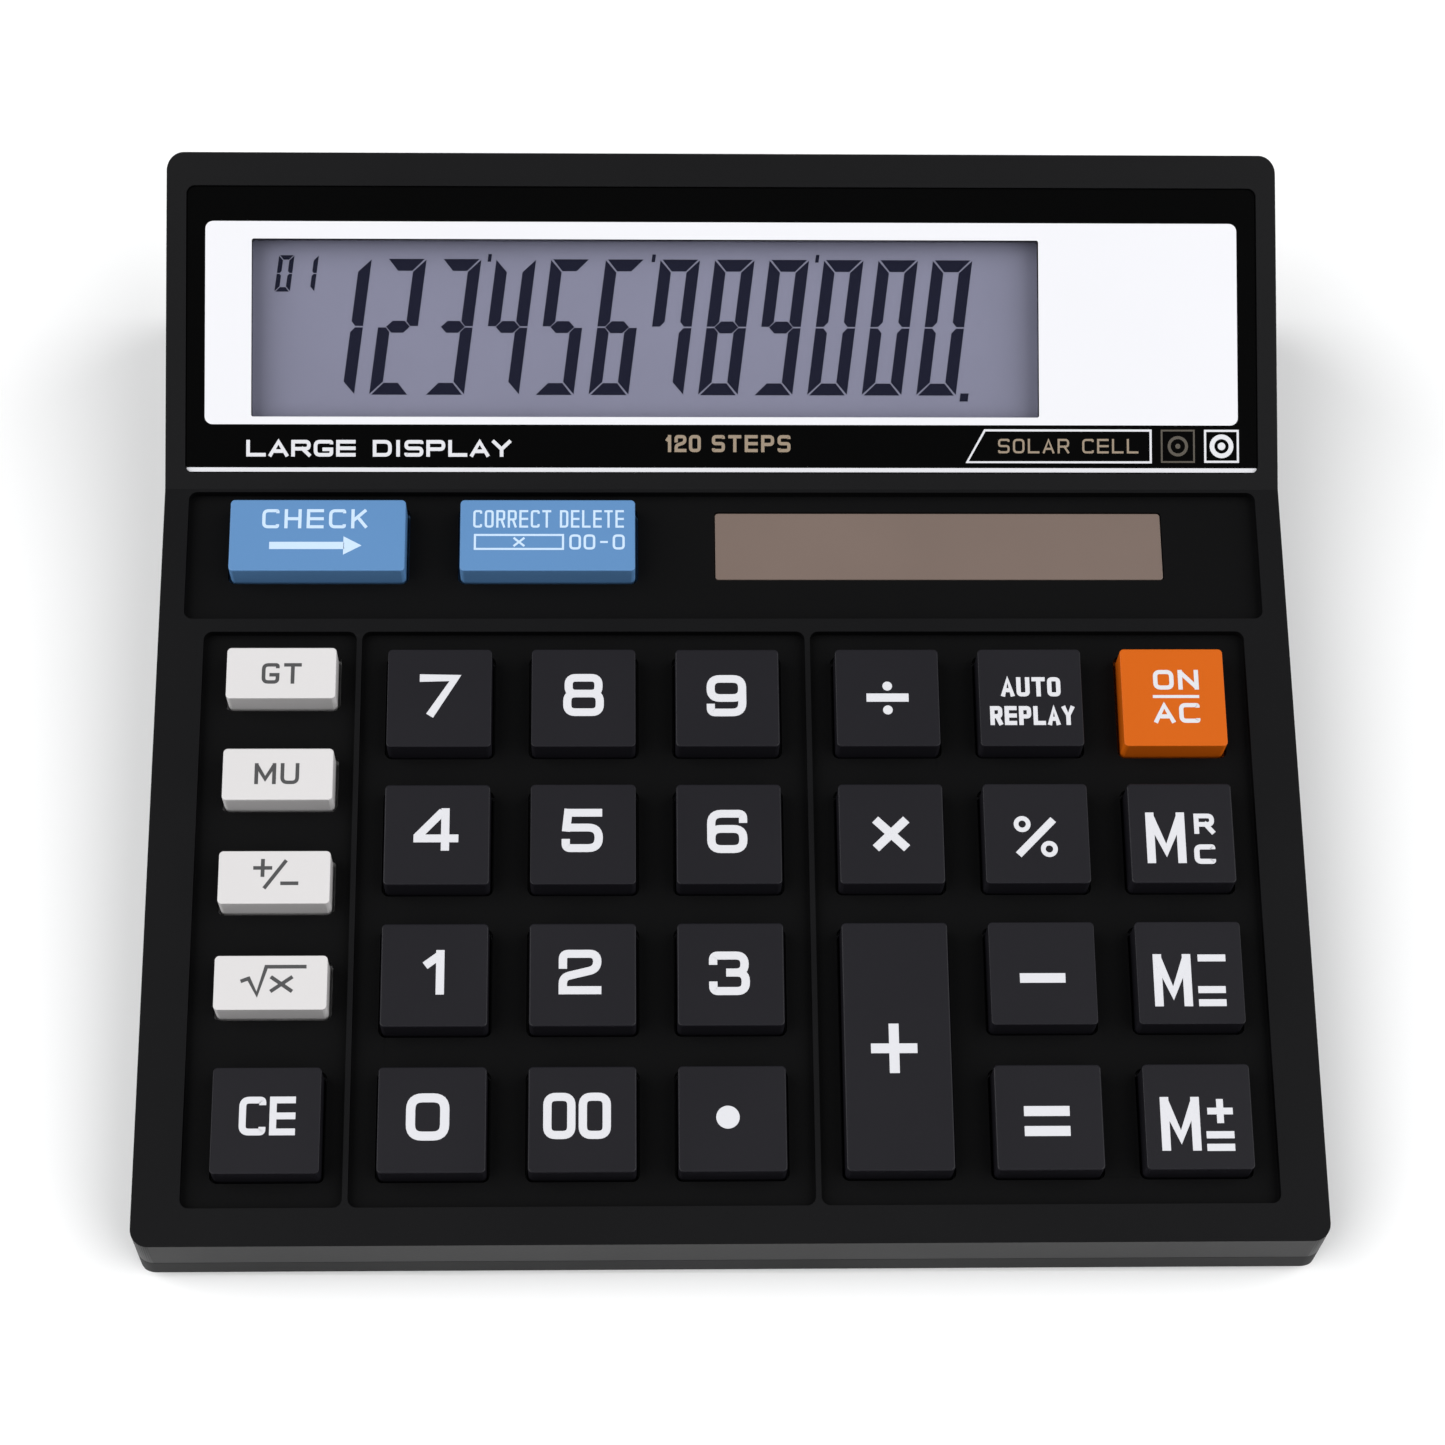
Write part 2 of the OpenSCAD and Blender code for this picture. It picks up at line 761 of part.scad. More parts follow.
// The flexible strip from the board to the contact ledge of the glass
module lcd_flex() {
    strip_t = 0.2;
    bend = 1.4;
    slack = 4;
    end_gap = 0.3;
    top = [
        side_point(glass_at + contact_l - strip_t, front_glass_z, display_tilt),
        side_point(glass_at - bend, front_glass_z, display_tilt),
        side_point(glass_at - slack, front_glass_z - bend, display_tilt),
        side_point(board_back - end_gap, board_top + strip_t, key_tilt),
        side_point(mat_back + end_gap, board_top + strip_t, key_tilt)
    ];
    under = [for (i = [len(top) - 1:-1:0]) top[i] - strip_t * [0, 1]];
    color([0.75, 0.5, 0.15])
    translate([glass_x + flex_inset, 0, 0])
        rotate([90, 0, 90])
            linear_extrude(glass_w - 2 * flex_inset)
                polygon(concat(top, under));
}

// The rubber sheet with a dome under each key
module rubber_keypad() {
    color([0.6, 0.6, 0.62])
    on_keys() difference() {
        union() {
            block([-mat_w / 2, mat_front, board_top], [mat_w / 2, mat_back, mat_top]);
            for (k = KEYS, offset = k[6])
                translate([k[1], k[2] + offset, mat_top - sink])
                    cylinder(r1 = dome_r(k), r2 = dome_r(k) * dome_taper, h = dome_h + sink);
        }
        for (k = KEYS, offset = k[6])
            translate([k[1], k[2] + offset, board_top - cut])
                cylinder(
                    r1 = dome_r(k) - dome_wall, r2 = dome_r(k) * dome_taper - dome_wall,
                    h = cut + mat_t + dome_h - 2 * dome_wall
                );
        for (p = BOARD_SCREWS)
            translate([p[0], p[1], board_top - cut]) cylinder(r = boss_r + hole_gap, h = 4 * cut);
        for (x = solar_wire_x)
            translate([x, solar_y, board_top - cut]) cylinder(r = 2 * wire_r, h = 4 * cut);
    }
}

// Radius of the dome under a key, clear of the key's side walls
function dome_r(k) = min(dome_largest, min(k[3], k[4]) / 2 - key_wall - dome_side_gap);

// The circuit board, with holes for its screws
module main_board() {
    color([0.1, 0.35, 0.2])
    on_keys() difference() {
        block([-board_w / 2, board_front, board_under], [board_w / 2, board_back, board_top]);
        for (p = BOARD_SCREWS)
            translate([p[0], p[1], board_under - cut])
                cylinder(r = small_screw_r + hole_gap, h = board_t + 2 * cut);
    }
}

// The sealed chip under the board
module chip_blob() {
    blob_x = -8;
    blob_r = 6;
    blob_h = 1.3;
    ball_r = (blob_r * blob_r + blob_h * blob_h) / (2 * blob_h);
    color([0.05, 0.05, 0.05])
    on_keys() translate([blob_x, row_0, 0]) intersection() {
        translate([0, 0, board_under - blob_h + ball_r]) sphere(ball_r, $fn = 96);
        translate([0, 0, board_under - 2 * blob_h]) cylinder(r = blob_r, h = 2 * blob_h);
    }
}

// A capacitor and two kinds of chip parts under the board
module board_components() {
    can = [22, -14];
    can_r = 2.5;
    can_l = 8;
    small = [1.6, 0.8, 0.6];
    small_at = [30, row_0 - 4];
    small_gap = 3.2;
    large = [3.2, 1.6, 1];
    large_at = [-30, -14];
    large_gap = 6;
    on_keys() {
        color([0.15, 0.2, 0.5])
        translate([can[0], can[1], board_under - can_r]) rotate([0, 90, 0]) cylinder(r = can_r, h = can_l);
        color([0.7, 0.5, 0.2])
        for (i = [0:4])
            translate([small_at[0] + small_gap * i, small_at[1], board_under - small[2] / 2])
                cube(small, center = true);
        color([0.6, 0.3, 0.2])
        for (i = [0:2])
            translate([large_at[0] + large_gap * i, large_at[1], board_under - large[2] / 2])
                cube(large, center = true);
    }
}

// The small screws of the board and the display frame, all alike
module inner_screws() {
    head = 0.8;
    length = 3.3;
    color([0.75, 0.75, 0.78]) {
        on_keys()
            for (p = BOARD_SCREWS)
                translate([p[0], p[1], board_under]) screw(small_screw_r, length, small_head_r, head);
        on_display()
            for (x = frame_post_x, y = frame_tab_y)
                translate([x, y, frame_z]) screw(small_screw_r, length, small_head_r, head);
    }
}

// The four screws that hold the halves together
module case_screws() {
    color([0.6, 0.6, 0.62])
    for (p = CASE_SCREWS)
        translate([p[0], p[1], screw_seat]) screw(screw_r, screw_l, head_r, head_h);
}

// Four discs under the floor
module feet(r, top) {
    for (x = [-1, 1], y = [front_y + front_foot_at, back_y - back_foot_at])
        translate([x * (body_w / 2 - foot_inset), y, 0]) cylinder(r = r, h = top);
}

// The rubber feet
module rubber_feet() {
    color([0.2, 0.2, 0.2]) feet(foot_r, foot_h + foot_sunk);
}

// The AA cell, with its button to the right
module battery_cell() {
    color([0.8, 0.65, 0.2])
    translate([battery_x, battery_y, battery_z]) rotate([0, 90, 0]) {
        cylinder(r = battery_d / 2, h = battery_l - nub_l);
        cylinder(r = nub_r, h = battery_l);
    }
}

// A contact plate, from x up to x plus its thickness
module contact_plate(x) {
    half = 5;
    block([x, -half, -half], [x + contact_t, half, bay_top - battery_z - bay_gap]);
}

// The spring contact, on its plate
module battery_spring() {
    turns = 4;
    steps = 14;
    wire_r = 0.35;
    coil_top = 2.2;
    coil_base = 4.2;
    rings = turns * steps;
    bite = 0.1;
    travel = spring_l - 2 * wire_r + bite;
    coil = [
        for (i = [0:rings])
            let (r = coil_base + (coil_top - coil_base) * i / rings, a = 360 * i / steps)
                [r * cos(a), r * sin(a), wire_r - bite + travel * i / rings]
    ];
    color([0.8, 0.8, 0.82])
    translate([spring_x, battery_y, battery_z]) {
        rotate([0, 90, 0]) wire(coil, wire_r, [0, 0, 1]);
        contact_plate(-contact_t);
    }
}

// The flat contact plate
module battery_plate() {
    color([0.8, 0.8, 0.82])
    translate([bay_w / 2 - contact_t, battery_y, battery_z]) contact_plate(0);
}

// A lead from a battery contact, over the compartment's front wall, to the board
module battery_lead(side) {
    margin = 2;
    rise = 1.5;
    start = 4;
    board_end = side_point(board_back - margin, board_under, key_tilt);
    x = side * lead_x;
    wire(
        [
            [x, battery_y - start, lead_z],
            [x, bay_front - bay_wall - margin, lead_z],
            [x, board_end[0], board_end[1] - rise],
            [x, board_end[0], board_end[1]]
        ],
        lead_r, [1, 0, 0]
    );
}

// The leads of the battery
module battery_lead_black() {
    color([0.05, 0.05, 0.05]) battery_lead(-1);
}

module battery_lead_red() {
    color([0.7, 0.05, 0.05]) battery_lead(1);
}

// A short lead from the solar cell down through the sheet to the board
module solar_lead(x) {
    on_keys()
        translate([x, solar_y, board_top])
            cylinder(r = wire_r, h = panel_under - cell_t - board_top);
}

// The leads of the solar cell
module solar_lead_black() {
    color([0.05, 0.05, 0.05]) solar_lead(solar_wire_x[0]);
}

module solar_lead_red() {
    color([0.7, 0.05, 0.05]) solar_lead(solar_wire_x[1]);
}

// One key: a hollow cap with a flange that stops under the panel, and a post over each dome
module key(k) {
    lip = key_clear + flange_reach;
    roof = key_rise - key_top_t;
    color(k[5])
    on_keys() translate([k[1], k[2], 0]) {
        difference() {
            union() {
                plate(k[3], k[4], key_r, flange_top - sink, key_rise);
                plate(k[3] + 2 * lip, k[4] + 2 * lip, key_r + lip, flange_z, flange_top);
            }
            plate(
                k[3] - 2 * key_wall, k[4] - 2 * key_wall, key_r / 2,
                flange_z - cut, roof
            );
        }
        for (offset = k[6])
            translate([0, offset, dome_top + dome_play])
                cylinder(r = min(post_r, dome_r(k) * dome_taper), h = roof - dome_top - dome_play + sink);
    }
}

top_case();
bottom_case();
battery_door();
display_lens();
solar_window();
solar_cell();
solar_pad();
lcd_front_film();
lcd_front_glass();
lcd_rear_glass();
lcd_rear_film();
lcd_frame();
lcd_flex();
rubber_keypad();
main_board();
chip_blob();
board_components();
inner_screws();
case_screws();
rubber_feet();
battery_cell();
battery_spring();
battery_plate();
battery_lead_black();
battery_lead_red();
solar_lead_black();
solar_lead_red();
for (k = KEYS) key(k);
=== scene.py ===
import bpy
import json
import math
from mathutils import Euler, Matrix, Vector


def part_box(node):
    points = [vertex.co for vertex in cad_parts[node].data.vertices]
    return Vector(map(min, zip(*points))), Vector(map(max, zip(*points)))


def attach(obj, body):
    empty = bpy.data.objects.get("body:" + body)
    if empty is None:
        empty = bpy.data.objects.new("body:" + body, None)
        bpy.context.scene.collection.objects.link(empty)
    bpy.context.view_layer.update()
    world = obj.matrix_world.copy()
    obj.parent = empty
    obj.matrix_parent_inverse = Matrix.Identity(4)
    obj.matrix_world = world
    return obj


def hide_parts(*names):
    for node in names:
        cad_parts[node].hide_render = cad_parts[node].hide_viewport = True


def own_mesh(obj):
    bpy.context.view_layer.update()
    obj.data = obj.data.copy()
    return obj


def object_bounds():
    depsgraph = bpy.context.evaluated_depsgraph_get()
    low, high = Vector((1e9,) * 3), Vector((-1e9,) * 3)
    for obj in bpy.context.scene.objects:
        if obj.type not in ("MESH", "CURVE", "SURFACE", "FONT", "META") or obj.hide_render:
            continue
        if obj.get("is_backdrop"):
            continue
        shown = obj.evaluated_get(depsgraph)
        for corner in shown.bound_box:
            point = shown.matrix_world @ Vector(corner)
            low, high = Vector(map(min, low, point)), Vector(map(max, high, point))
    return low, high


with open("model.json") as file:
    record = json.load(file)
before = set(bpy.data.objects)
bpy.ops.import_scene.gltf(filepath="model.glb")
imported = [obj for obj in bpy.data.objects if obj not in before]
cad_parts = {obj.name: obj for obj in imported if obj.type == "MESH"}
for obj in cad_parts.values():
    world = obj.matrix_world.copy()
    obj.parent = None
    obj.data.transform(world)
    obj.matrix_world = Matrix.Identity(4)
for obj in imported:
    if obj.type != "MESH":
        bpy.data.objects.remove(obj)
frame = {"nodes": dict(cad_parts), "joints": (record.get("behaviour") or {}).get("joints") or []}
bpy.ops.object.select_all(action="DESELECT")
mm = 0.001
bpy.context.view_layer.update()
nodes = frame["nodes"]
keys = [name for name in nodes if name.startswith("key_")]


# ---- The two decks ------------------------------------------------------------------
# The keyboard deck slopes gently and the display deck more steeply, and they meet at the
# foot of the display. Places on a deck are given from there, in the deck's own plane.

push = next(j["axis"] for j in frame["joints"] if j["child"] == "key_7")
key_tilt = math.atan2(push[1], -push[2])
deck_bend = math.radians(18)
display_tilt = key_tilt + deck_bend
case_low, case_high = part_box("top_case")
key_deck = 89.2 * mm
display_deck = 39.5 * mm
hinge = Vector((
    0,
    case_low.y + key_deck * math.cos(key_tilt),
    case_high.z - display_deck * math.sin(display_tilt),
))
on_keys = Matrix.Translation(hinge) @ Matrix.Rotation(key_tilt, 4, "X")
on_display = Matrix.Translation(hinge) @ Matrix.Rotation(display_tilt, 4, "X")


# ---- Desk, light and camera ---------------------------------------------------------
# A plain white table top, two broad lamps low in front at either side, and a camera in
# front that looks down square to the display.

desk_side = 8
desk_white = (0.95, 0.95, 0.95, 1)
bpy.ops.mesh.primitive_plane_add(size=desk_side)
desk = bpy.context.object
desk.name = "desk"
desk_paint = bpy.data.materials.new("desk_paint")
desk_paint.use_nodes = True
desk_shader = desk_paint.node_tree.nodes["Principled BSDF"]
desk_shader.inputs["Base Color"].default_value = desk_white
desk_shader.inputs["Roughness"].default_value = 0.9
desk_shader.inputs["Specular IOR Level"].default_value = 0
desk.data.materials.append(desk_paint)
desk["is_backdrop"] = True

for name, side, back, lift, strength, spread in (
    ("lamp_left", -1.0, -0.2, 0.9, 2.75, 70),
    ("lamp_right", 1.0, -0.25, 0.9, 2.5, 70),
):
    bpy.ops.object.light_add(type="SUN")
    lamp = bpy.context.object
    lamp.name = name
    lamp.data.energy = strength
    lamp.data.angle = math.radians(spread)
    lamp.rotation_euler = Vector((side, back, lift)).to_track_quat("Z", "Y").to_euler()

world = bpy.data.worlds.new("studio")
bpy.context.scene.world = world
world.use_nodes = True
world.node_tree.nodes["Background"].inputs["Color"].default_value = (0.96, 0.98, 1, 1)
world.node_tree.nodes["Background"].inputs["Strength"].default_value = 0.2

bpy.ops.object.camera_add()
camera = bpy.context.object
camera.data.sensor_width = 36
camera.data.lens = 88.3
camera_place = Vector((-12.2, -170.4, 378)) * mm
camera_pitch = math.radians(20.5)
camera_yaw = math.radians(-1.66)
camera_roll = math.radians(-0.06)
camera.location = on_keys @ camera_place
camera.rotation_mode = "ZYX"
camera.rotation_euler = Euler((key_tilt + camera_pitch, camera_yaw, camera_roll), "ZYX")
bpy.context.scene.camera = camera
bpy.context.scene.view_settings.view_transform = "Standard"


# ---- Lower case ---------------------------------------------------------------------
# A shallow tray of black ABS with the battery compartment in it, moulded with a fine
# grain and small radii on every edge.

def grain_group():
    """The fine mottle and texture of a moulded or printed surface."""
    tree = bpy.data.node_groups.new("Moulded surface", "ShaderNodeTree")
    for label, kind, value in (
        ("Colour", "NodeSocketColor", (0.5, 0.5, 0.5, 1)),
        ("Mottle", "NodeSocketFloat", 0.1),
        ("Grain size", "NodeSocketFloat", 0.0004),
        ("Grain", "NodeSocketFloat", 0.2),
        ("Roughness", "NodeSocketFloat", 0.5),
        ("Roughness change", "NodeSocketFloat", 0.1),
    ):
        socket = tree.interface.new_socket(label, in_out="INPUT", socket_type=kind)
        socket.default_value = value
    for label, kind in (
        ("Colour", "NodeSocketColor"),
        ("Roughness", "NodeSocketFloat"),
        ("Normal", "NodeSocketVector"),
    ):
        tree.interface.new_socket(label, in_out="OUTPUT", socket_type=kind)
    made = tree.nodes
    link = tree.links.new
    cloud_scale = 60
    bump_depth = 0.02 * mm
    given = made.new("NodeGroupInput")
    result = made.new("NodeGroupOutput")
    place = made.new("ShaderNodeTexCoord")
    cloud = made.new("ShaderNodeTexNoise")
    cloud.inputs["Scale"].default_value = cloud_scale
    cloud.inputs["Detail"].default_value = 4
    link(place.outputs["Object"], cloud.inputs["Vector"])
    density = made.new("ShaderNodeMath")
    density.operation = "DIVIDE"
    density.inputs[0].default_value = 1
    link(given.outputs["Grain size"], density.inputs[1])
    pebble = made.new("ShaderNodeTexNoise")
    pebble.inputs["Detail"].default_value = 2
    link(place.outputs["Object"], pebble.inputs["Vector"])
    link(density.outputs[0], pebble.inputs["Scale"])
    shift = made.new("ShaderNodeMath")
    shift.operation = "SUBTRACT"
    shift.inputs[1].default_value = 0.5
    link(cloud.outputs["Fac"], shift.inputs[0])
    amount = made.new("ShaderNodeMath")
    amount.operation = "MULTIPLY_ADD"
    amount.inputs[2].default_value = 1
    link(shift.outputs[0], amount.inputs[0])
    link(given.outputs["Mottle"], amount.inputs[1])
    tone = made.new("ShaderNodeVectorMath")
    tone.operation = "SCALE"
    link(given.outputs["Colour"], tone.inputs[0])
    link(amount.outputs[0], tone.inputs["Scale"])
    link(tone.outputs[0], result.inputs["Colour"])
    rough = made.new("ShaderNodeMath")
    rough.operation = "MULTIPLY_ADD"
    link(shift.outputs[0], rough.inputs[0])
    link(given.outputs["Roughness change"], rough.inputs[1])
    link(given.outputs["Roughness"], rough.inputs[2])
    link(rough.outputs[0], result.inputs["Roughness"])
    bump = made.new("ShaderNodeBump")
    bump.inputs["Distance"].default_value = bump_depth
    link(pebble.outputs["Fac"], bump.inputs["Height"])
    link(given.outputs["Grain"], bump.inputs["Strength"])
    link(bump.outputs[0], result.inputs["Normal"])
    return tree


moulded_surface = grain_group()


def moulded(name, colour, rough, mottle=0.12, grain=0.25, grain_size=0.35, shine=0.5):
    """A material whose colour, gloss and grain come from the shared moulded surface.

    The mottle is a share of the colour, the grain is its strength, and the grain size is in
    millimetres. The shine is the strength of the clear reflection.
    """
    gloss_change = 0.2
    material = bpy.data.materials.new(name)
    material.use_nodes = True
    tree = material.node_tree
    shader = tree.nodes["Principled BSDF"]
    shader.inputs["Specular IOR Level"].default_value = shine
    surface = tree.nodes.new("ShaderNodeGroup")
    surface.node_tree = moulded_surface
    surface.inputs["Colour"].default_value = (*colour, 1)
    surface.inputs["Mottle"].default_value = mottle
    surface.inputs["Grain size"].default_value = grain_size * mm
    surface.inputs["Grain"].default_value = grain
    surface.inputs["Roughness"].default_value = rough
    surface.inputs["Roughness change"].default_value = rough * gloss_change
    tree.links.new(surface.outputs["Colour"], shader.inputs["Base Color"])
    tree.links.new(surface.outputs["Roughness"], shader.inputs["Roughness"])
    tree.links.new(surface.outputs["Normal"], shader.inputs["Normal"])
    return material


def select_only(piece):
    """Makes one piece the selected and active one."""
    bpy.ops.object.select_all(action="DESELECT")
    piece.select_set(True)
    bpy.context.view_layer.objects.active = piece


def apply_modifiers(piece):
    """Applies every modifier on a piece, in order."""
    select_only(piece)
    for modifier in list(piece.modifiers):
        bpy.ops.object.modifier_apply(modifier=modifier.name)


def moulding_from(node, name):
    """A copy of a CAD node with its corners joined and its flat faces made whole."""
    join_within = 0.002 * mm
    flat_within = math.radians(0.5)
    piece = nodes[node].copy()
    piece.data = nodes[node].data.copy()
    for label in list(piece.keys()):
        del piece[label]
    piece.name = name
    piece.parent = None
    piece.matrix_world = Matrix.Identity(4)
    bpy.context.collection.objects.link(piece)
    piece.data.materials.clear()
    select_only(piece)
    bpy.ops.object.mode_set(mode="EDIT")
    bpy.ops.mesh.select_all(action="SELECT")
    bpy.ops.mesh.remove_doubles(threshold=join_within)
    bpy.ops.mesh.dissolve_limited(angle_limit=flat_within)
    bpy.ops.object.mode_set(mode="OBJECT")
    return piece


def smooth(piece, angle=35):
    """Shades a piece smoothly across its rounded edges, with its broad faces kept flat."""
    select_only(piece)
    bpy.ops.object.shade_smooth_by_angle(angle=math.radians(angle))
    flat = piece.modifiers.new("broad faces", "WEIGHTED_NORMAL")
    flat.keep_sharp = True
    apply_modifiers(piece)


def soften_edges(piece, radius, steps=3, angle=30):
    """Rounds every edge of a moulding that is sharper than the angle, in degrees."""
    bevel = piece.modifiers.new("edges", "BEVEL")
    bevel.width = radius
    bevel.segments = steps
    bevel.limit_method = "ANGLE"
    bevel.angle_limit = math.radians(angle)
    bevel.use_clamp_overlap = True
    apply_modifiers(piece)
    smooth(piece)


def fit(piece, body, slot, material, *stands_for):
    """Gives a piece its material and its place in the assembly."""
    if material:
        piece.data.materials.append(material)
    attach(piece, body)
    if stands_for:
        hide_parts(*stands_for)


def recolour(node, material):
    """Gives a CAD node that keeps its shape a finished material."""
    nodes[node].data.materials.clear()
    nodes[node].data.materials.append(material)


case_base = moulded("case_base", (0.004, 0.004, 0.0045), 0.55, grain=0.5, shine=0.1)
case_edge = 0.15 * mm
lower_case = moulding_from("bottom_case", "lower_case")
soften_edges(lower_case, case_edge, 2)
fit(lower_case, "case", "case_base", case_base, "bottom_case")


# ---- Feet and battery door ----------------------------------------------------------
# Four black rubber discs are glued into the floor, and the door slides out to the back
# on two runners.

foot_rubber = moulded("foot_rubber", (0.014, 0.014, 0.014), 0.75, grain=0.6)
foot_edge = 0.25 * mm
feet = moulding_from("rubber_feet", "feet")
soften_edges(feet, foot_edge, 3)
fit(feet, "case", "foot_rubber", foot_rubber, "rubber_feet")

door_edge = 0.12 * mm
door = moulding_from("battery_door", "door")
soften_edges(door, door_edge, 2)
fit(door, "battery_door", "case_base", case_base, "battery_door")


# ---- Battery, contacts and leads ----------------------------------------------------
# One AA cell in a black and copper sleeve lies between a coil spring and a flat plate of plated
# steel. Two insulated leads go over the compartment wall to the board.

sleeve = moulded("cell_sleeve", (0.55, 0.33, 0.05), 0.3, mottle=0.2, grain=0.05)
cell = moulding_from("battery_cell", "cell")
cell_low, cell_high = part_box("battery_cell")
cell_edge = 0.5 * mm
cap_reach = 2.2 * mm
base_reach = 0.4 * mm
colour_change = cell_low.x + 34 * mm
bpy.ops.object.mode_set(mode="EDIT")
bpy.ops.mesh.select_all(action="SELECT")
bpy.ops.mesh.bisect(plane_co=(colour_change, 0, 0), plane_no=(1, 0, 0))
bpy.ops.object.mode_set(mode="OBJECT")
soften_edges(cell, cell_edge, 3)
plated = moulded("plated_steel", (0.62, 0.62, 0.64), 0.28, mottle=0.15, grain=0.1)
plated.node_tree.nodes["Principled BSDF"].inputs["Metallic"].default_value = 1
black_sleeve = moulded("cell_sleeve_black", (0.02, 0.02, 0.022), 0.3, grain=0.05)
fit(cell, "case", "cell", sleeve, "battery_cell")
cell.data.materials.append(black_sleeve)
cell.data.materials.append(plated)
for face in cell.data.polygons:
    if face.center.x > cell_high.x - cap_reach or face.center.x < cell_low.x + base_reach:
        face.material_index = 2
    elif face.center.x < colour_change:
        face.material_index = 1

recolour("battery_spring", plated)
recolour("battery_plate", plated)
recolour("battery_lead_black", moulded("lead_black", (0.01, 0.01, 0.01), 0.4, grain=0.1))
recolour("battery_lead_red", moulded("lead_red", (0.45, 0.01, 0.01), 0.4, grain=0.1))
recolour("solar_lead_black", bpy.data.materials["lead_black"])
recolour("solar_lead_red", bpy.data.materials["lead_red"])


# ---- Circuit board ------------------------------------------------------------------
# A green lacquered board with a drop of black epoxy over the chip and a few parts under
# it, held up by small cross-head screws.

lacquer = moulded("board_lacquer", (0.02, 0.12, 0.05), 0.25, mottle=0.5, grain=0.1)
board_edge = 0.1 * mm
screw_edge = 0.06 * mm
board = moulding_from("main_board", "board")
soften_edges(board, board_edge, 2)
fit(board, "case", "board", lacquer, "main_board")
recolour("chip_blob", moulded("epoxy", (0.008, 0.008, 0.008), 0.2, grain=0.1))
recolour("board_components", moulded("board_parts", (0.2, 0.13, 0.07), 0.35, mottle=0.6))
for node in ("inner_screws", "case_screws"):
    screws = moulding_from(node, node + "_turned")
    soften_edges(screws, screw_edge, 2)
    fit(screws, "case", "steel", plated, node)


# ---- Rubber keypad ------------------------------------------------------------------
# One sheet of grey silicone rubber lies on the board. A hollow dome stands on it under
# each key.

silicone = moulded("silicone", (0.32, 0.32, 0.34), 0.55, grain=0.3)
silicone.node_tree.nodes["Principled BSDF"].inputs["Subsurface Weight"].default_value = 0.1
mat_from_rim = 5.2 * mm
mat_t = 0.6 * mm
mat_edge = 0.12 * mm
mat_low, mat_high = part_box("rubber_keypad")
mat_front = -(key_deck - 4.5 * mm)
mat_back = -3.4 * mm
dome_h = 1.9 * mm
dome_wall = 0.4 * mm
dome_lip = 0.4 * mm
dome_lip_t = 0.12 * mm
dome_max_r = 3 * mm
dome_room = 1.9 * mm
dome_margin = 1.3 * mm
plus_dome_at = 8.165


def put(piece, deck):
    """Moves a piece drawn on a deck to its place, with the place kept in its mesh."""
    select_only(piece)
    piece.matrix_world = deck @ piece.matrix_world
    bpy.ops.object.transform_apply(location=True, rotation=True, scale=True)


bpy.ops.mesh.primitive_cube_add(size=1)
sheet = bpy.context.object
sheet.name = "keypad_sheet"
sheet.dimensions = (mat_high.x - mat_low.x, mat_back - mat_front, mat_t)
sheet.location = (0, (mat_back + mat_front) / 2, -mat_from_rim - mat_t / 2)
put(sheet, on_keys)
soften_edges(sheet, mat_edge, 2)
fit(sheet, "case", "rubber_grey", silicone, "rubber_keypad")


def key_middle(name):
    """The middle of a key on the keyboard deck."""
    low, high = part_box(name)
    middle = on_keys.inverted() @ ((low + high) / 2)
    return Vector((middle.x, middle.y, 0))


def dome(name, place, base_r):
    """One hollow dome. Its outline gives the radius and height of each ring, going up."""
    tip_r = 0.02 * mm
    outline = (
        (base_r + dome_lip, 0), (base_r, dome_lip_t), (base_r * 0.86, dome_h * 0.45),
        (base_r * 0.74, dome_h * 0.8), (base_r * 0.66, dome_h), (0, dome_h),
    )
    bpy.ops.mesh.primitive_circle_add(vertices=32, radius=outline[0][0], fill_type="NOTHING")
    piece = bpy.context.object
    piece.name = name
    bpy.ops.object.mode_set(mode="EDIT")
    for before, after in zip(outline, outline[1:]):
        ratio = max(after[0], tip_r) / before[0]
        bpy.ops.mesh.extrude_edges_move(
            TRANSFORM_OT_translate={"value": (0, 0, after[1] - before[1])}
        )
        bpy.ops.transform.resize(value=(ratio, ratio, 1))
    bpy.ops.mesh.merge(type="CENTER")
    bpy.ops.mesh.select_all(action="SELECT")
    bpy.ops.mesh.normals_make_consistent(inside=False)
    bpy.ops.object.mode_set(mode="OBJECT")
    shell = piece.modifiers.new("wall", "SOLIDIFY")
    shell.thickness = dome_wall
    shell.offset = -1
    apply_modifiers(piece)
    bpy.ops.object.shade_smooth_by_angle(angle=math.radians(50))
    piece.location = place
    put(piece, on_keys)
    fit(piece, "case", "rubber_grey", silicone)
    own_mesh(piece)


for key in keys:
    low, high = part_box(key)
    base_r = min(dome_max_r, (high.y - low.y - dome_room) / 2 - dome_margin)
    offsets = (-plus_dome_at, plus_dome_at) if key == "key_plus" else (0,)
    for turn, offset in enumerate(offsets):
        place = key_middle(key) + Vector((0, offset * mm, -mat_from_rim))
        dome(f"dome_{key[4:]}_{turn}", place, base_r)


# ---- Liquid crystal display ---------------------------------------------------------
# Two sheets of glass between polarising films, held up against the case by a white
# frame. The lit segments are thin dark shapes in the film.

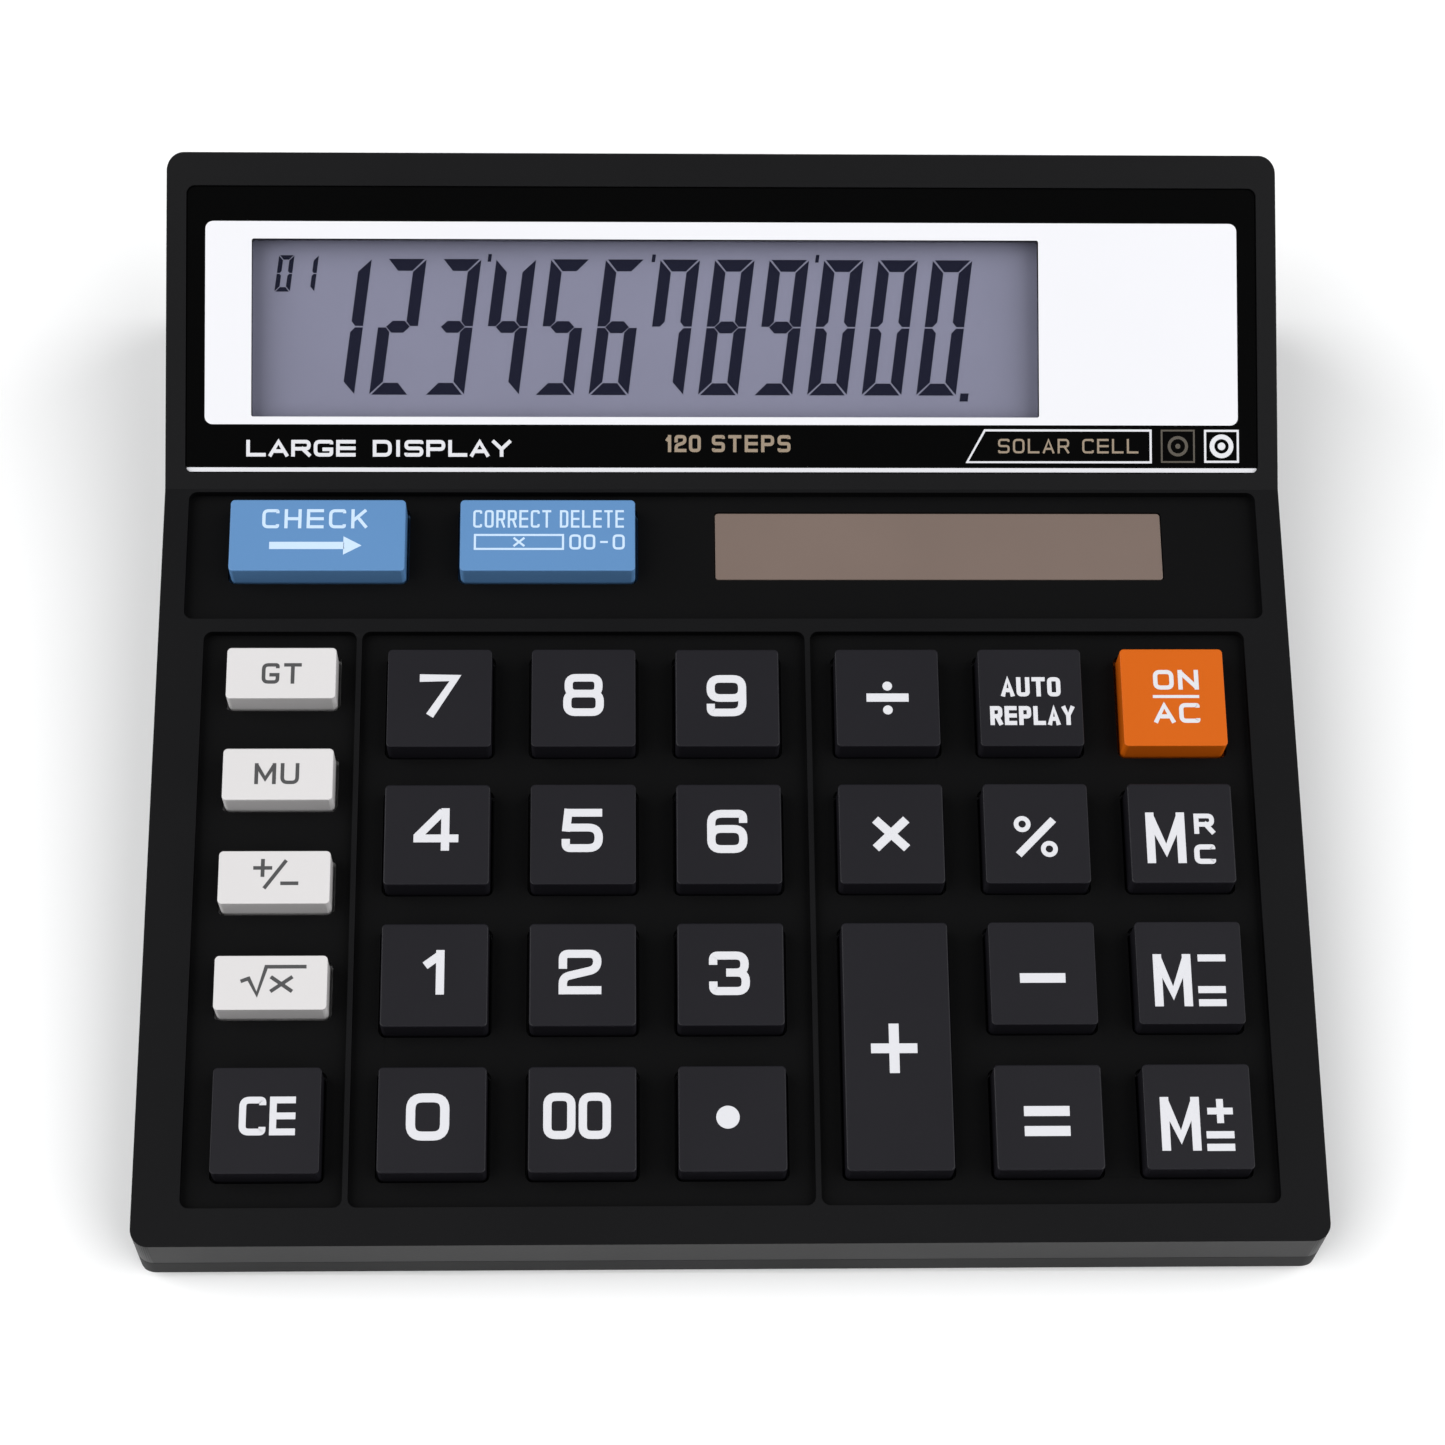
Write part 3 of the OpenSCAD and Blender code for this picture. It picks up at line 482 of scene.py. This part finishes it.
film = moulded("display_film", (0.224, 0.226, 0.316), 0.4, mottle=0.1, grain=0.03, shine=0.3)
ink = moulded("display_ink", (0.008, 0.009, 0.024), 0.5, mottle=0.05, grain=0, shine=0.05)
recolour("lcd_front_film", film)
recolour("lcd_front_glass", moulded("display_glass", (0.4, 0.42, 0.45), 0.08, grain=0))
recolour("lcd_rear_glass", bpy.data.materials["display_glass"])
recolour("lcd_rear_film", moulded("reflector", (0.6, 0.61, 0.65), 0.3, grain=0.05))
recolour("lcd_flex", moulded("flex_strip", (0.5, 0.25, 0.05), 0.3, mottle=0.3, grain=0.05))
holder_white = moulded("holder_white", (0.7, 0.7, 0.67), 0.5)
holder_edge = 0.12 * mm
holder = moulding_from("lcd_frame", "display_holder")
soften_edges(holder, holder_edge, 2)
fit(holder, "case", "frame_white", holder_white, "lcd_frame")

film_top = -2.95 * mm
ink_lift = 0.04 * mm
ink_t = 0.03 * mm
lean = math.tan(math.radians(7.3))
# The bars that are lit for each digit: a to f go round from the top, and g is the middle.
LIT = {
    "0": "abcdef", "1": "bc", "2": "abged", "3": "abgcd", "4": "fgbc",
    "5": "afgcd", "6": "afgedc", "7": "fabc", "8": "abcdefg", "9": "abcdfg",
}


def segment(letter, w, h, t, gap):
    """The outline of one of the seven bars, t thick, of a digit w wide and h high."""
    m = h / 2
    top = ((gap + 0.1 * t, h), (w - gap - 0.1 * t, h), (w - t - gap, h - t), (t + gap, h - t))
    right = (
        (w, h - gap), (w, m + gap), (w - 0.65 * t, m + gap),
        (w - t, m + 0.4 * t + gap), (w - t, h - t - 1.5 * gap),
    )
    bar = (
        (0.6 * t + gap, m), (1.1 * t + gap, m + t / 2), (w - 1.1 * t - gap, m + t / 2),
        (w - 0.6 * t - gap, m), (w - 1.1 * t - gap, m - t / 2), (1.1 * t + gap, m - t / 2),
    )
    return {
        "a": top,
        "d": [(x, h - y) for x, y in top],
        "b": right,
        "c": [(x, h - y) for x, y in right],
        "f": [(w - x, y) for x, y in right],
        "e": [(w - x, h - y) for x, y in right],
        "g": bar,
    }[letter]


def flat_shapes(name, outlines, z, depth=0.05 * mm):
    """One mesh of flat printed shapes, each a closed outline, with a little thickness."""
    mesh = bpy.data.meshes.new(name)
    corners = []
    faces = []
    join_within = 0.0005 * mm
    for outline in outlines:
        first = len(corners)
        corners += [(x * mm, y * mm, z + lift * mm) for x, y, lift in outline]
        faces.append(range(first, len(corners)))
    mesh.from_pydata(corners, [], [list(f) for f in faces])
    piece = bpy.data.objects.new(name, mesh)
    bpy.context.collection.objects.link(piece)
    select_only(piece)
    bpy.ops.object.mode_set(mode="EDIT")
    bpy.ops.mesh.select_all(action="SELECT")
    bpy.ops.mesh.quads_convert_to_tris()
    bpy.ops.object.mode_set(mode="OBJECT")
    for face in mesh.polygons:
        if face.normal.z < 0:
            face.flip()
    bpy.ops.object.mode_set(mode="EDIT")
    bpy.ops.mesh.select_all(action="SELECT")
    bpy.ops.mesh.remove_doubles(threshold=join_within)
    bpy.ops.object.mode_set(mode="OBJECT")
    skin = piece.modifiers.new("thickness", "SOLIDIFY")
    skin.thickness = depth
    skin.offset = -1
    apply_modifiers(piece)
    return piece


def digits(text, x_right, y0, w, h, t, gap, pitch):
    """The outlines of a row of leaning digits that ends at x_right along its top."""
    shapes = []
    for place, digit in enumerate(reversed(text)):
        x0 = x_right - place * pitch - w - h * lean
        for letter in LIT[digit]:
            shapes.append([
                (x0 + x + y * lean, y0 + y, 0) for x, y in segment(letter, w, h, t, gap)
            ])
    return shapes


def leaning_box(x, y, w, h):
    """A small leaning mark, such as the point or a thousands mark."""
    return [(x, y, 0), (x + w, y, 0), (x + w + h * lean, y + h, 0), (x + h * lean, y + h, 0)]


shown = digits(
    "123456789000", x_right=29.5, y0=11.45, w=4.65, h=16.05, t=1.4, gap=0.09, pitch=6.436
)
shown += digits("01", x_right=-47.5, y0=23.6, w=1.8, h=4.3, t=0.52, gap=0.06, pitch=2.85)
for thousands_x in (-27.7, -8.4, 10.9):
    shown.append(leaning_box(thousands_x, y=27.2, w=0.4, h=0.9))
shown.append(leaning_box(x=27.9, y=10.75, w=0.95, h=0.95))
shapes = flat_shapes("display_segments", shown, film_top + ink_lift, ink_t)
put(shapes, on_display)
fit(shapes, "case", "film", ink)


# ---- Solar cell ---------------------------------------------------------------------
# A brown amorphous cell behind a smoked window, pressed up by a strip of foam.

recolour("solar_cell", moulded("solar_brown", (0.06, 0.035, 0.03), 0.2, grain=0.02))
recolour("solar_pad", moulded("foam", (0.03, 0.03, 0.03), 0.9, grain=1))
smoked = moulded("smoked_window", (0.165, 0.122, 0.103), 0.22, mottle=0.16, grain=0.02)
solar_edge = 0.1 * mm
solar_window = moulding_from("solar_window", "solar_pane")
soften_edges(solar_window, solar_edge, 2)
fit(solar_window, "case", "solar_clear", smoked, "solar_window")


# ---- Upper case ---------------------------------------------------------------------
# The upper half is one moulding in black ABS: a smooth rim with a soft outer edge, and
# recessed panels whose edges are crisper. The panels have a rougher grain, and a darker colour
# that is painted shade.

case_black = moulded("case_black", (0.005, 0.005, 0.0055), 0.4, grain=0.35, shine=0.1)
# The panels' rougher grain is their own finish; their darker colour is painted shade in the
# recess.
panel_black_painted_shade = moulded("panel_black_painted_shade", (0.0025, 0.0025, 0.0027), 0.55, grain=0.6, shine=0.06)
near = 0.05 * mm
rim_radius = 1 * mm
crisp = 0.16
corner_room = 2.6 * mm
seam_room = 1 * mm
top_depth = 2 * mm
panel_floor = -1.35 * mm
panel_rim = -0.25 * mm
panel_reach = 62.4 * mm
sharp_angle = math.radians(30)
upper_case = moulding_from("top_case", "upper_case")
select_only(upper_case)
bpy.ops.object.mode_set(mode="EDIT")
bpy.ops.mesh.edges_select_sharp(sharpness=sharp_angle)
bpy.ops.object.mode_set(mode="OBJECT")
weights = upper_case.data.attributes.new("bevel_weight_edge", "FLOAT", "EDGE")
from_keys = on_keys.inverted()
from_display = on_display.inverted()


def on_top(point):
    """True on the decks, their panels and the pocket of the window."""
    place = from_keys @ point
    if place.y > 0:
        place = from_display @ point
    return place.z > -top_depth


def on_outside(point):
    """True on the outer faces of the case, its round corners included."""
    beside = min(point.x - case_low.x, case_high.x - point.x)
    along = min(point.y - case_low.y, case_high.y - point.y)
    return beside < near or along < near or (beside < corner_room and along < corner_room)


for edge in upper_case.data.edges:
    if not edge.select and not edge.use_edge_sharp:
        continue
    ends = [upper_case.data.vertices[i].co for i in edge.vertices]
    outside = all(on_outside(p) for p in ends)
    if outside and min(p.z for p in ends) > case_low.z + seam_room:
        weights.data[edge.index].value = 1
    elif outside or all(on_top(p) for p in ends):
        weights.data[edge.index].value = crisp
rounding = upper_case.modifiers.new("edges", "BEVEL")
rounding.width = rim_radius
rounding.segments = 4
rounding.limit_method = "WEIGHT"
apply_modifiers(upper_case)
smooth(upper_case)
fit(upper_case, "case", "case_black", case_black, "top_case")
upper_case.data.materials.append(panel_black_painted_shade)
# The recessed panel faces take the darker material, which paints shade into the recess.
for face in upper_case.data.polygons:
    place = from_keys @ face.center
    recessed = panel_floor < place.z < panel_rim
    if recessed and place.y < 0 and abs(place.x) < panel_reach:
        face.material_index = 1


# ---- Display window -----------------------------------------------------------------
# A flat acrylic window fills the pocket over the display. It is printed black, with a
# white frame round the clear part, a bright line along its foot and a few words.

window_top = -0.3 * mm
window_t = 1.5 * mm
gloss_black = moulded("window_black", (0.001, 0.001, 0.001), 0.06, grain=0, shine=0.1)
gloss_white = moulded("window_white", (0.72, 0.72, 0.75), 0.12, mottle=0.02, grain=0)
clear = moulded("window_clear", (0.02, 0.02, 0.022), 0.05, mottle=0, grain=0)
clear.node_tree.nodes["Principled BSDF"].inputs["Alpha"].default_value = 0.06
white_ink = moulded("white_ink", (0.62, 0.62, 0.65), 0.45, mottle=0.04, grain=0.1)
bronze_ink = moulded("bronze_ink", (0.26, 0.2, 0.14), 0.4, mottle=0.1, grain=0.1)
dim_ink = moulded("dim_ink", (0.06, 0.05, 0.036), 0.4, mottle=0.1, grain=0.1)


def round_box(x0, x1, y0, y1, r):
    """The outline of a rectangle with corners of radius r, in millimetres."""
    points = []
    corners = (
        (x1 - r, y1 - r, 0), (x0 + r, y1 - r, 90), (x0 + r, y0 + r, 180), (x1 - r, y0 + r, 270),
    )
    for cx, cy, start in corners:
        for turn in range(0, 91, 15):
            a = math.radians(start + turn)
            points.append((cx + r * math.cos(a), cy + r * math.sin(a)))
    return points


def cut_plate(name, outlines, top, thickness):
    """A flat plate whose first outline is its edge and whose others are openings."""
    join_within = 0.001 * mm
    curve = bpy.data.curves.new(name, "CURVE")
    curve.dimensions = "2D"
    curve.fill_mode = "BOTH"
    curve.extrude = thickness / 2
    for outline in outlines:
        line = curve.splines.new("POLY")
        line.points.add(len(outline) - 1)
        for point, (x, y) in zip(line.points, outline):
            point.co = (x * mm, y * mm, 0, 1)
        line.use_cyclic_u = True
    piece = bpy.data.objects.new(name, curve)
    bpy.context.collection.objects.link(piece)
    piece.location = (0, 0, top - thickness / 2)
    select_only(piece)
    bpy.ops.object.convert(target="MESH")
    piece = bpy.context.object
    bpy.ops.object.mode_set(mode="EDIT")
    bpy.ops.mesh.select_all(action="SELECT")
    bpy.ops.mesh.remove_doubles(threshold=join_within)
    bpy.ops.mesh.normals_make_consistent(inside=False)
    bpy.ops.object.mode_set(mode="OBJECT")
    return piece


window_edge = round_box(x0=-62.6, x1=62.6, y0=2, y1=35.5, r=1)
frame_edge = round_box(x0=-60.5, x1=60.4, y0=7.6, y1=31.45, r=0.9)
clear_edge = round_box(x0=-55.1, x1=37, y0=8.5, y1=29.4, r=0.25)
print_t = 0.03 * mm
for name, outlines, top, thickness, material in (
    ("window_border", (window_edge, clear_edge), window_top, window_t, gloss_black),
    ("window_frame", (frame_edge, clear_edge), window_top + print_t, print_t, gloss_white),
    ("window_pane", (clear_edge,), window_top, window_t, clear),
):
    plate = cut_plate(name, outlines, top, thickness)
    put(plate, on_display)
    fit(plate, "case", "window", material, "display_lens")

# Letters and figures are drawn as strokes on a square grid, 1 high and 1 wide. Each
# stroke is a line of points, the radius of its corners, and 1 where its ends run on by
# half a stroke.
STROKES = {
    "0": [([(0, 0), (1, 0), (1, 1), (0, 1), (0, 0)], 0.3, 0)],
    "1": [([(0.8, 0), (0.8, 1)], 0, 1), ([(0, 0.68), (0.7, 0.94)], 0, 0)],
    "2": [
        ([(0, 0.7), (0, 1), (1, 1), (1, 0.58), (0, 0.36), (0, 0)], 0.26, 1),
        ([(0, 0), (1, 0)], 0, 1),
    ],
    "3": [
        ([(0, 0.74), (0, 1), (0.97, 1), (0.97, 0.52), (0.4, 0.52)], 0.24, 0),
        ([(0.4, 0.52), (1, 0.52), (1, 0), (0, 0), (0, 0.27)], 0.24, 0),
    ],
    "4": [
        ([(0.75, 0), (0.75, 1)], 0, 1), ([(0, 0.24), (1, 0.24)], 0, 1),
        ([(-0.03, 0.27), (0.68, 1.02)], 0, 0),
    ],
    "5": [
        ([(0.1, 1), (0.98, 1)], 0, 1), ([(0.07, 1), (0.02, 0.58)], 0, 1),
        ([(0.04, 0.58), (1, 0.58), (1, 0), (0, 0), (0, 0.26)], 0.28, 0),
    ],
    "6": [
        ([(1, 0.74), (1, 1), (0, 1), (0, 0.3)], 0.28, 0),
        ([(0, 0), (1, 0), (1, 0.57), (0, 0.57), (0, 0)], 0.26, 0),
    ],
    "7": [([(0, 1), (1, 1), (0.27, 0)], 0, 1)],
    "8": [
        ([(0.04, 0.54), (0.96, 0.54), (0.96, 1), (0.04, 1), (0.04, 0.54)], 0.2, 0),
        ([(0, 0), (1, 0), (1, 0.54), (0, 0.54), (0, 0)], 0.22, 0),
    ],
    "9": [
        ([(0, 0.26), (0, 0), (1, 0), (1, 0.7)], 0.28, 0),
        ([(0, 0.43), (1, 0.43), (1, 1), (0, 1), (0, 0.43)], 0.26, 0),
    ],
    "A": [([(0, 0), (0.5, 1), (1, 0)], 0, 1), ([(0.22, 0.28), (0.78, 0.28)], 0, 0)],
    "C": [([(1, 0.84), (1, 1), (0, 1), (0, 0), (1, 0), (1, 0.16)], 0.28, 0)],
    "D": [([(0, 0), (0, 1)], 0, 1), ([(0, 1), (1, 1), (1, 0), (0, 0)], 0.34, 0)],
    "E": [([(0, 0), (0, 1)], 0, 1)] + [([(0, y), (1, y)], 0, 1) for y in (0, 0.5, 1)],
    "G": [
        ([(1, 0.8), (1, 1), (0, 1), (0, 0), (1, 0), (1, 0.42)], 0.28, 0),
        ([(1, 0.42), (0.55, 0.42)], 0, 1),
    ],
    "H": [([(x, 0), (x, 1)], 0, 1) for x in (0, 1)] + [([(0, 0.5), (1, 0.5)], 0, 0)],
    "I": [([(0.5, 0), (0.5, 1)], 0, 1)],
    "K": [
        ([(0, 0), (0, 1)], 0, 1), ([(0, 0.36), (0.95, 1.05)], 0, 0),
        ([(0.35, 0.6), (1, -0.05)], 0, 0),
    ],
    "L": [([(0, 1), (0, 0), (1, 0)], 0, 1)],
    "M": [
        ([(0, 0), (0, 1)], 0, 1), ([(1, 0), (1, 1)], 0, 1),
        ([(0, 1), (0.5, 0.2), (1, 1)], 0, 0),
    ],
    "N": [
        ([(0, 0), (0, 1)], 0, 1), ([(1, 0), (1, 1)], 0, 1), ([(0, 1), (1, 0)], 0, 0),
    ],
    "O": [([(0, 0), (1, 0), (1, 1), (0, 1), (0, 0)], 0.3, 0)],
    "P": [([(0, 0), (0, 1)], 0, 1), ([(0, 1), (1, 1), (1, 0.44), (0, 0.44)], 0.26, 0)],
    "R": [
        ([(0, 0), (0, 1)], 0, 1), ([(0, 1), (1, 1), (1, 0.46), (0, 0.46)], 0.26, 0),
        ([(0.6, 0.46), (1, 0)], 0, 1),
    ],
    "S": [
        ([(1, 0.84), (1, 1), (0, 1), (0, 0.5), (0.5, 0.5)], 0.24, 0),
        ([(0.5, 0.5), (1, 0.5), (1, 0), (0, 0), (0, 0.16)], 0.24, 0),
    ],
    "T": [([(0, 1), (1, 1)], 0, 1), ([(0.5, 0), (0.5, 1)], 0, 1)],
    "U": [([(0, 1), (0, 0), (1, 0), (1, 1)], 0.3, 1)],
    "Y": [([(0, 1), (0.5, 0.45), (1, 1)], 0, 1), ([(0.5, 0), (0.5, 0.5)], 0, 1)],
    "+": [([(0, 0.5), (1, 0.5)], 0, 1), ([(0.5, 0), (0.5, 1)], 0, 1)],
    "-": [([(0, 0.5), (1, 0.5)], 0, 1)],
    "=": [([(0, 0), (1, 0)], 0, 1), ([(0, 1), (1, 1)], 0, 1)],
    "x": [([(0, 0), (1, 1)], 0, 0), ([(0, 1), (1, 0)], 0, 0)],
    "/": [([(0, 0), (1, 1)], 0, 0)],
    "root": [([(0, 0.5), (0.1, 0.58), (0.24, 0), (0.38, 1), (1, 1)], 0, 1)],
    "box": [([(0, 0), (1, 0), (1, 1), (0, 1), (0, 0)], 0, 0)],
}


def rounded_line(points, radius):
    """The same line with each corner drawn as a short curve, and whether it is closed."""
    steps = 6
    most = 0.49
    closed = points[0] == points[-1]
    ring = [Vector(p) for p in (points[:-1] if closed else points)]
    line = []
    for i, corner in enumerate(ring):
        if not radius or (not closed and i in (0, len(ring) - 1)):
            line.append(corner)
            continue
        back = ring[i - 1] - corner
        on = ring[(i + 1) % len(ring)] - corner
        room = min(radius, back.length * most, on.length * most)
        start = corner + back.normalized() * room
        end = corner + on.normalized() * room
        for step in range(steps + 1):
            t = step / steps
            line.append((1 - t) ** 2 * start + 2 * t * (1 - t) * corner + t * t * end)
    return line, closed


def stroke_quads(points, radius, width, run_on=1, lift=0.0):
    """The quads of a stroke of even width along a line, all lifted by the same amount."""
    line, closed = rounded_line(points, radius)
    if run_on and not closed:
        line[0] = line[0] + (line[0] - line[1]).normalized() * width / 2
        line[-1] = line[-1] + (line[-1] - line[-2]).normalized() * width / 2
    last = len(line) - 1
    least_cos = 0.6
    sides = []
    for i, point in enumerate(line):
        ways = []
        if closed or i > 0:
            ways.append((point - line[i - 1]).normalized())
        if closed or i < last:
            ways.append((line[(i + 1) % len(line)] - point).normalized())
        left = sum((Vector((-w.y, w.x)) for w in ways), Vector((0, 0))).normalized()
        reach = width / 2 / max(left.dot(Vector((-ways[0].y, ways[0].x))), least_cos)
        sides.append([(*(point + left * reach * way), lift) for way in (1, -1)])
    pairs = list(zip(sides, sides[1:]))
    if closed:
        pairs.append((sides[-1], sides[0]))
    return [[a[0], a[1], b[1], b[0]] for a, b in pairs]


def mark(sign, cx, cy, w, h, stroke):
    """The quads of one sign, whose outer size is w by h, about (cx, cy).

    Each stroke lies a little over the one before it, so that none share a plane.
    """
    corner_share = 1.2
    stroke_lift = 0.005
    sx, sy = max(w - stroke, 0), max(h - stroke, 0)
    corner = min(max(sx, sy), corner_share * min(sx, sy) or 1)
    quads = []
    for turn, (points, radius, run_on) in enumerate(STROKES[sign]):
        scaled = [(cx + (x - 0.5) * sx, cy + (y - 0.5) * sy) for x, y in points]
        quads += stroke_quads(scaled, radius * corner, stroke, run_on, stroke_lift * turn)
    return quads


def words(text, cx, cy, w, h, stroke, gap=0.35):
    """A line of capitals that fills the width w. A narrow letter takes less room."""
    share = {"I": 0.35, " ": 0.55, "M": 1.15, "1": 0.6}
    total = sum(share.get(c, 1) for c in text)
    unit = (w - gap * (len(text) - 1)) / total
    x = cx - w / 2
    quads = []
    for c in text:
        room = unit * share.get(c, 1)
        if c != " ":
            quads += mark(c, x + room / 2, cy, room, h, stroke)
        x += room + gap
    return quads


def spot(cx, cy, r, hole=0.0):
    """The quads of a disc, or of a ring where there is a hole."""
    sides = 32
    turns = [math.tau * i / sides for i in range(sides + 1)]
    rim = [(cx + math.cos(a) * r, cy + math.sin(a) * r, 0) for a in turns]
    inner = [(cx + math.cos(a) * hole, cy + math.sin(a) * hole, 0) for a in turns]
    if not hole:
        return [rim[:-1]]
    return [[rim[i], inner[i], inner[i + 1], rim[i + 1]] for i in range(sides)]


mark_t = 0.04 * mm
mark_lift = 0.012 * mm


def printed(name, quads, z, deck, body, slot, material):
    """Lays a printed mark on a surface."""
    piece = flat_shapes(name, quads, z, mark_t)
    put(piece, deck)
    fit(piece, body, slot, material)


face = window_top + mark_lift
line = stroke_quads([(-62.3, 2.3), (62.3, 2.3)], 0, 0.5)
printed("window_foot_line", line, face, on_display, "case", "window", white_ink)
large = words("LARGE", -49.3, 4.8, 12.7, 1.95, 0.42)
large += words("DISPLAY", -32.9, 4.8, 16.1, 1.95, 0.42)
large += mark("box", 58.45, 5.15, 4.1, 3.9, 0.25)
large += spot(58.45, 5.15, 1.4, 0.85) + spot(58.45, 5.15, 0.45)
slant = [(28.5, 3.25), (30.6, 7), (50.1, 7), (50.1, 3.25), (28.5, 3.25)]
large += stroke_quads(slant, 0, 0.25)
printed("window_words", large, face, on_display, "case", "window", white_ink)
steps = words("120", -4.8, 5.4, 4.2, 2, 0.38, 0.3)
steps += words("STEPS", 3.2, 5.4, 9.2, 2, 0.38, 0.4)
steps += words("SOLAR CELL", 40.4, 5.15, 16.5, 1.7, 0.24, 0.4)
printed("window_small_words", steps, face, on_display, "case", "window", bronze_ink)
icon = mark("box", 53.3, 5.15, 4, 3.9, 0.2)
icon += spot(53.3, 5.15, 1.2, 0.85) + spot(53.3, 5.15, 0.3)
printed("window_dim_icon", icon, face, on_display, "case", "window", dim_ink)


# ---- Keys ---------------------------------------------------------------------------
# Hollow ABS caps in four colours, with a fine bevel round the top. Their signs are
# printed in white, or in grey on the white keys.

key_black = moulded("key_black", (0.0095, 0.009, 0.0118), 0.38, grain=0.25, shine=0.2)
key_white = moulded("key_white", (0.6, 0.585, 0.585), 0.4, mottle=0.03, grain=0.15)
key_blue = moulded("key_blue", (0.094, 0.22, 0.43), 0.4, mottle=0.05, grain=0.15, shine=0.3)
key_orange = moulded("key_orange", (0.54, 0.1, 0.002), 0.4, mottle=0.05, grain=0.15, shine=0.2)
pale_ink = moulded("pale_ink", (0.5, 0.64, 0.8), 0.45, mottle=0.04, grain=0.1)
grey_ink = moulded("grey_ink", (0.05, 0.05, 0.052), 0.5, mottle=0.05, grain=0.1)
key_rise = 2 * mm
key_top = key_rise + mark_lift
cap_edge = 0.18 * mm
bold = 0.92
GREY = ("key_gt", "key_mu", "key_sign", "key_root")

SIGNS = {
    "key_7": mark("7", 0, 0.08, 4.5, 5.1, bold),
    "key_8": mark("8", 0, 0.1, 4.6, 5.1, bold),
    "key_9": mark("9", -0.1, 0, 4.5, 5, bold),
    "key_4": mark("4", -0.1, 0.35, 5, 5, bold),
    "key_5": mark("5", -0.1, 0.2, 4.6, 5.1, bold),
    "key_6": mark("6", -0.2, 0.05, 4.5, 5.1, bold),
    "key_1": mark("1", 0, 0.07, 3, 5.1, bold),
    "key_2": mark("2", -0.3, 0.05, 4.7, 5.1, bold),
    "key_3": mark("3", -0.15, -0.15, 4.5, 5, bold),
    "key_0": mark("0", -0.45, 0.07, 4.7, 5.25, 1),
    "key_00": mark("0", -2.5, 0.12, 3.5, 5.15, 0.9) + mark("0", 1.35, 0.12, 3.5, 5.15, 0.9),
    "key_point": spot(-0.5, -0.1, 1.28),
    "key_divide": mark("-", 0, -0.25, 4.8, 1, 1) + spot(0, 1.15, 0.55) + spot(0, -1.75, 0.55),
    "key_multiply": mark("x", -0.05, -0.28, 4.5, 4.4, 1),
    "key_plus": mark("+", -0.4, -0.6, 5.1, 5.6, 1.1),
    "key_minus": mark("-", -0.05, -0.8, 5.05, 1.1, 1.1),
    "key_equals": mark("=", -0.25, -0.68, 5, 3.35, 1.12),
    "key_percent": mark("/", -0.1, -0.7, 4.9, 5, 0.85)
        + spot(-1.6, 0.85, 0.95, 0.42) + spot(1.35, -2.1, 0.95, 0.42),
    "key_replay": words("AUTO", 0.05, 1.05, 6.8, 2.35, 0.5, 0.25)
        + words("REPLAY", 0.1, -2.45, 9.6, 2.3, 0.5, 0.25),
    "key_on": words("ON", 0.38, 1.9, 5.2, 2.4, 0.5, 0.5) + mark("-", 0.3, -0.15, 5.3, 0.36, 0.36)
        + words("AC", 0.3, -2.15, 5.25, 2.4, 0.5, 0.5),
    "key_mrc": mark("M", -1.8, -0.8, 4.4, 6, 0.95)
        + mark("R", 2.6, 0.85, 2.3, 2.4, 0.55) + mark("C", 2.5, -2.75, 2.4, 2.3, 0.6),
    "key_m_minus": mark("M", -1.95, -1.1, 4.2, 6, 0.95)
        + mark("-", 2.5, 1.45, 3.1, 0.8, 0.8) + mark("=", 2.35, -2.95, 3.05, 2.3, 0.8),
    "key_m_plus": mark("M", -2, -1.05, 4.3, 6, 0.95)
        + mark("+", 2.4, 0.35, 2.8, 2.7, 0.75) + mark("=", 2.3, -3, 3.05, 2.2, 0.8),
    "key_ce": mark("C", -1.45, 0.25, 2.9, 4.3, 0.75) + mark("E", 1.8, 0.25, 2.8, 4.3, 0.75),
    "key_gt": words("GT", 0.05, -0.3, 4.5, 2.5, 0.42, 0.5),
    "key_mu": words("MU", -0.1, -0.2, 5, 2.5, 0.42, 0.5),
    "key_sign": mark("+", -1.3, 0.85, 2.1, 2.1, 0.42) + mark("/", 0.1, 0.1, 2.8, 3.7, 0.42)
        + mark("-", 1.7, -0.95, 2, 0.42, 0.42),
    "key_root": mark("root", 0.3, 0, 7.2, 3.6, 0.42) + mark("x", 1.2, -0.4, 2.8, 2.1, 0.42),
    "key_check": words("CHECK", -0.3, 1.8, 12.2, 2.4, 0.38, 0.6)
        + mark("-", -1.2, -1.55, 8.6, 0.9, 0.9) + [[(3, -0.4, 0), (3, -2.7, 0), (5.1, -1.55, 0)]],
    "key_correct": words("CORRECT", -4.1, 1.8, 9, 2.2, 0.26, 0.3)
        + words("DELETE", 5.1, 1.8, 7.4, 2.2, 0.26, 0.3)
        + mark("box", -3.3, -1.1, 10.4, 2, 0.25) + mark("x", -3.3, -1.1, 1.5, 1.3, 0.25)
        + words("00", 4, -1.1, 3, 1.9, 0.28, 0.3) + mark("0", 8.2, -1.1, 1.4, 1.9, 0.28)
        + mark("-", 6.5, -1.1, 0.9, 0.25, 0.25),
}

for name in keys:
    cap = moulding_from(name, name + "_cap")
    soften_edges(cap, cap_edge, 3)
    material, slot = {
        "key_on": (key_orange, "key_orange"),
        "key_check": (key_blue, "key_blue"),
        "key_correct": (key_blue, "key_blue"),
    }.get(name, (key_white, "key_white") if name in GREY else (key_black, "key_black"))
    fit(cap, name, slot, material, name)
    middle = key_middle(name) / mm
    placed = [[(x + middle.x, y + middle.y, lift) for x, y, lift in q] for q in SIGNS[name]]
    sign_ink = grey_ink if name in GREY else pale_ink if slot == "key_blue" else white_ink
    printed(name + "_sign", placed, key_top, on_keys, name, slot, sign_ink)


bpy.context.view_layer.update()
low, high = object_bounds()
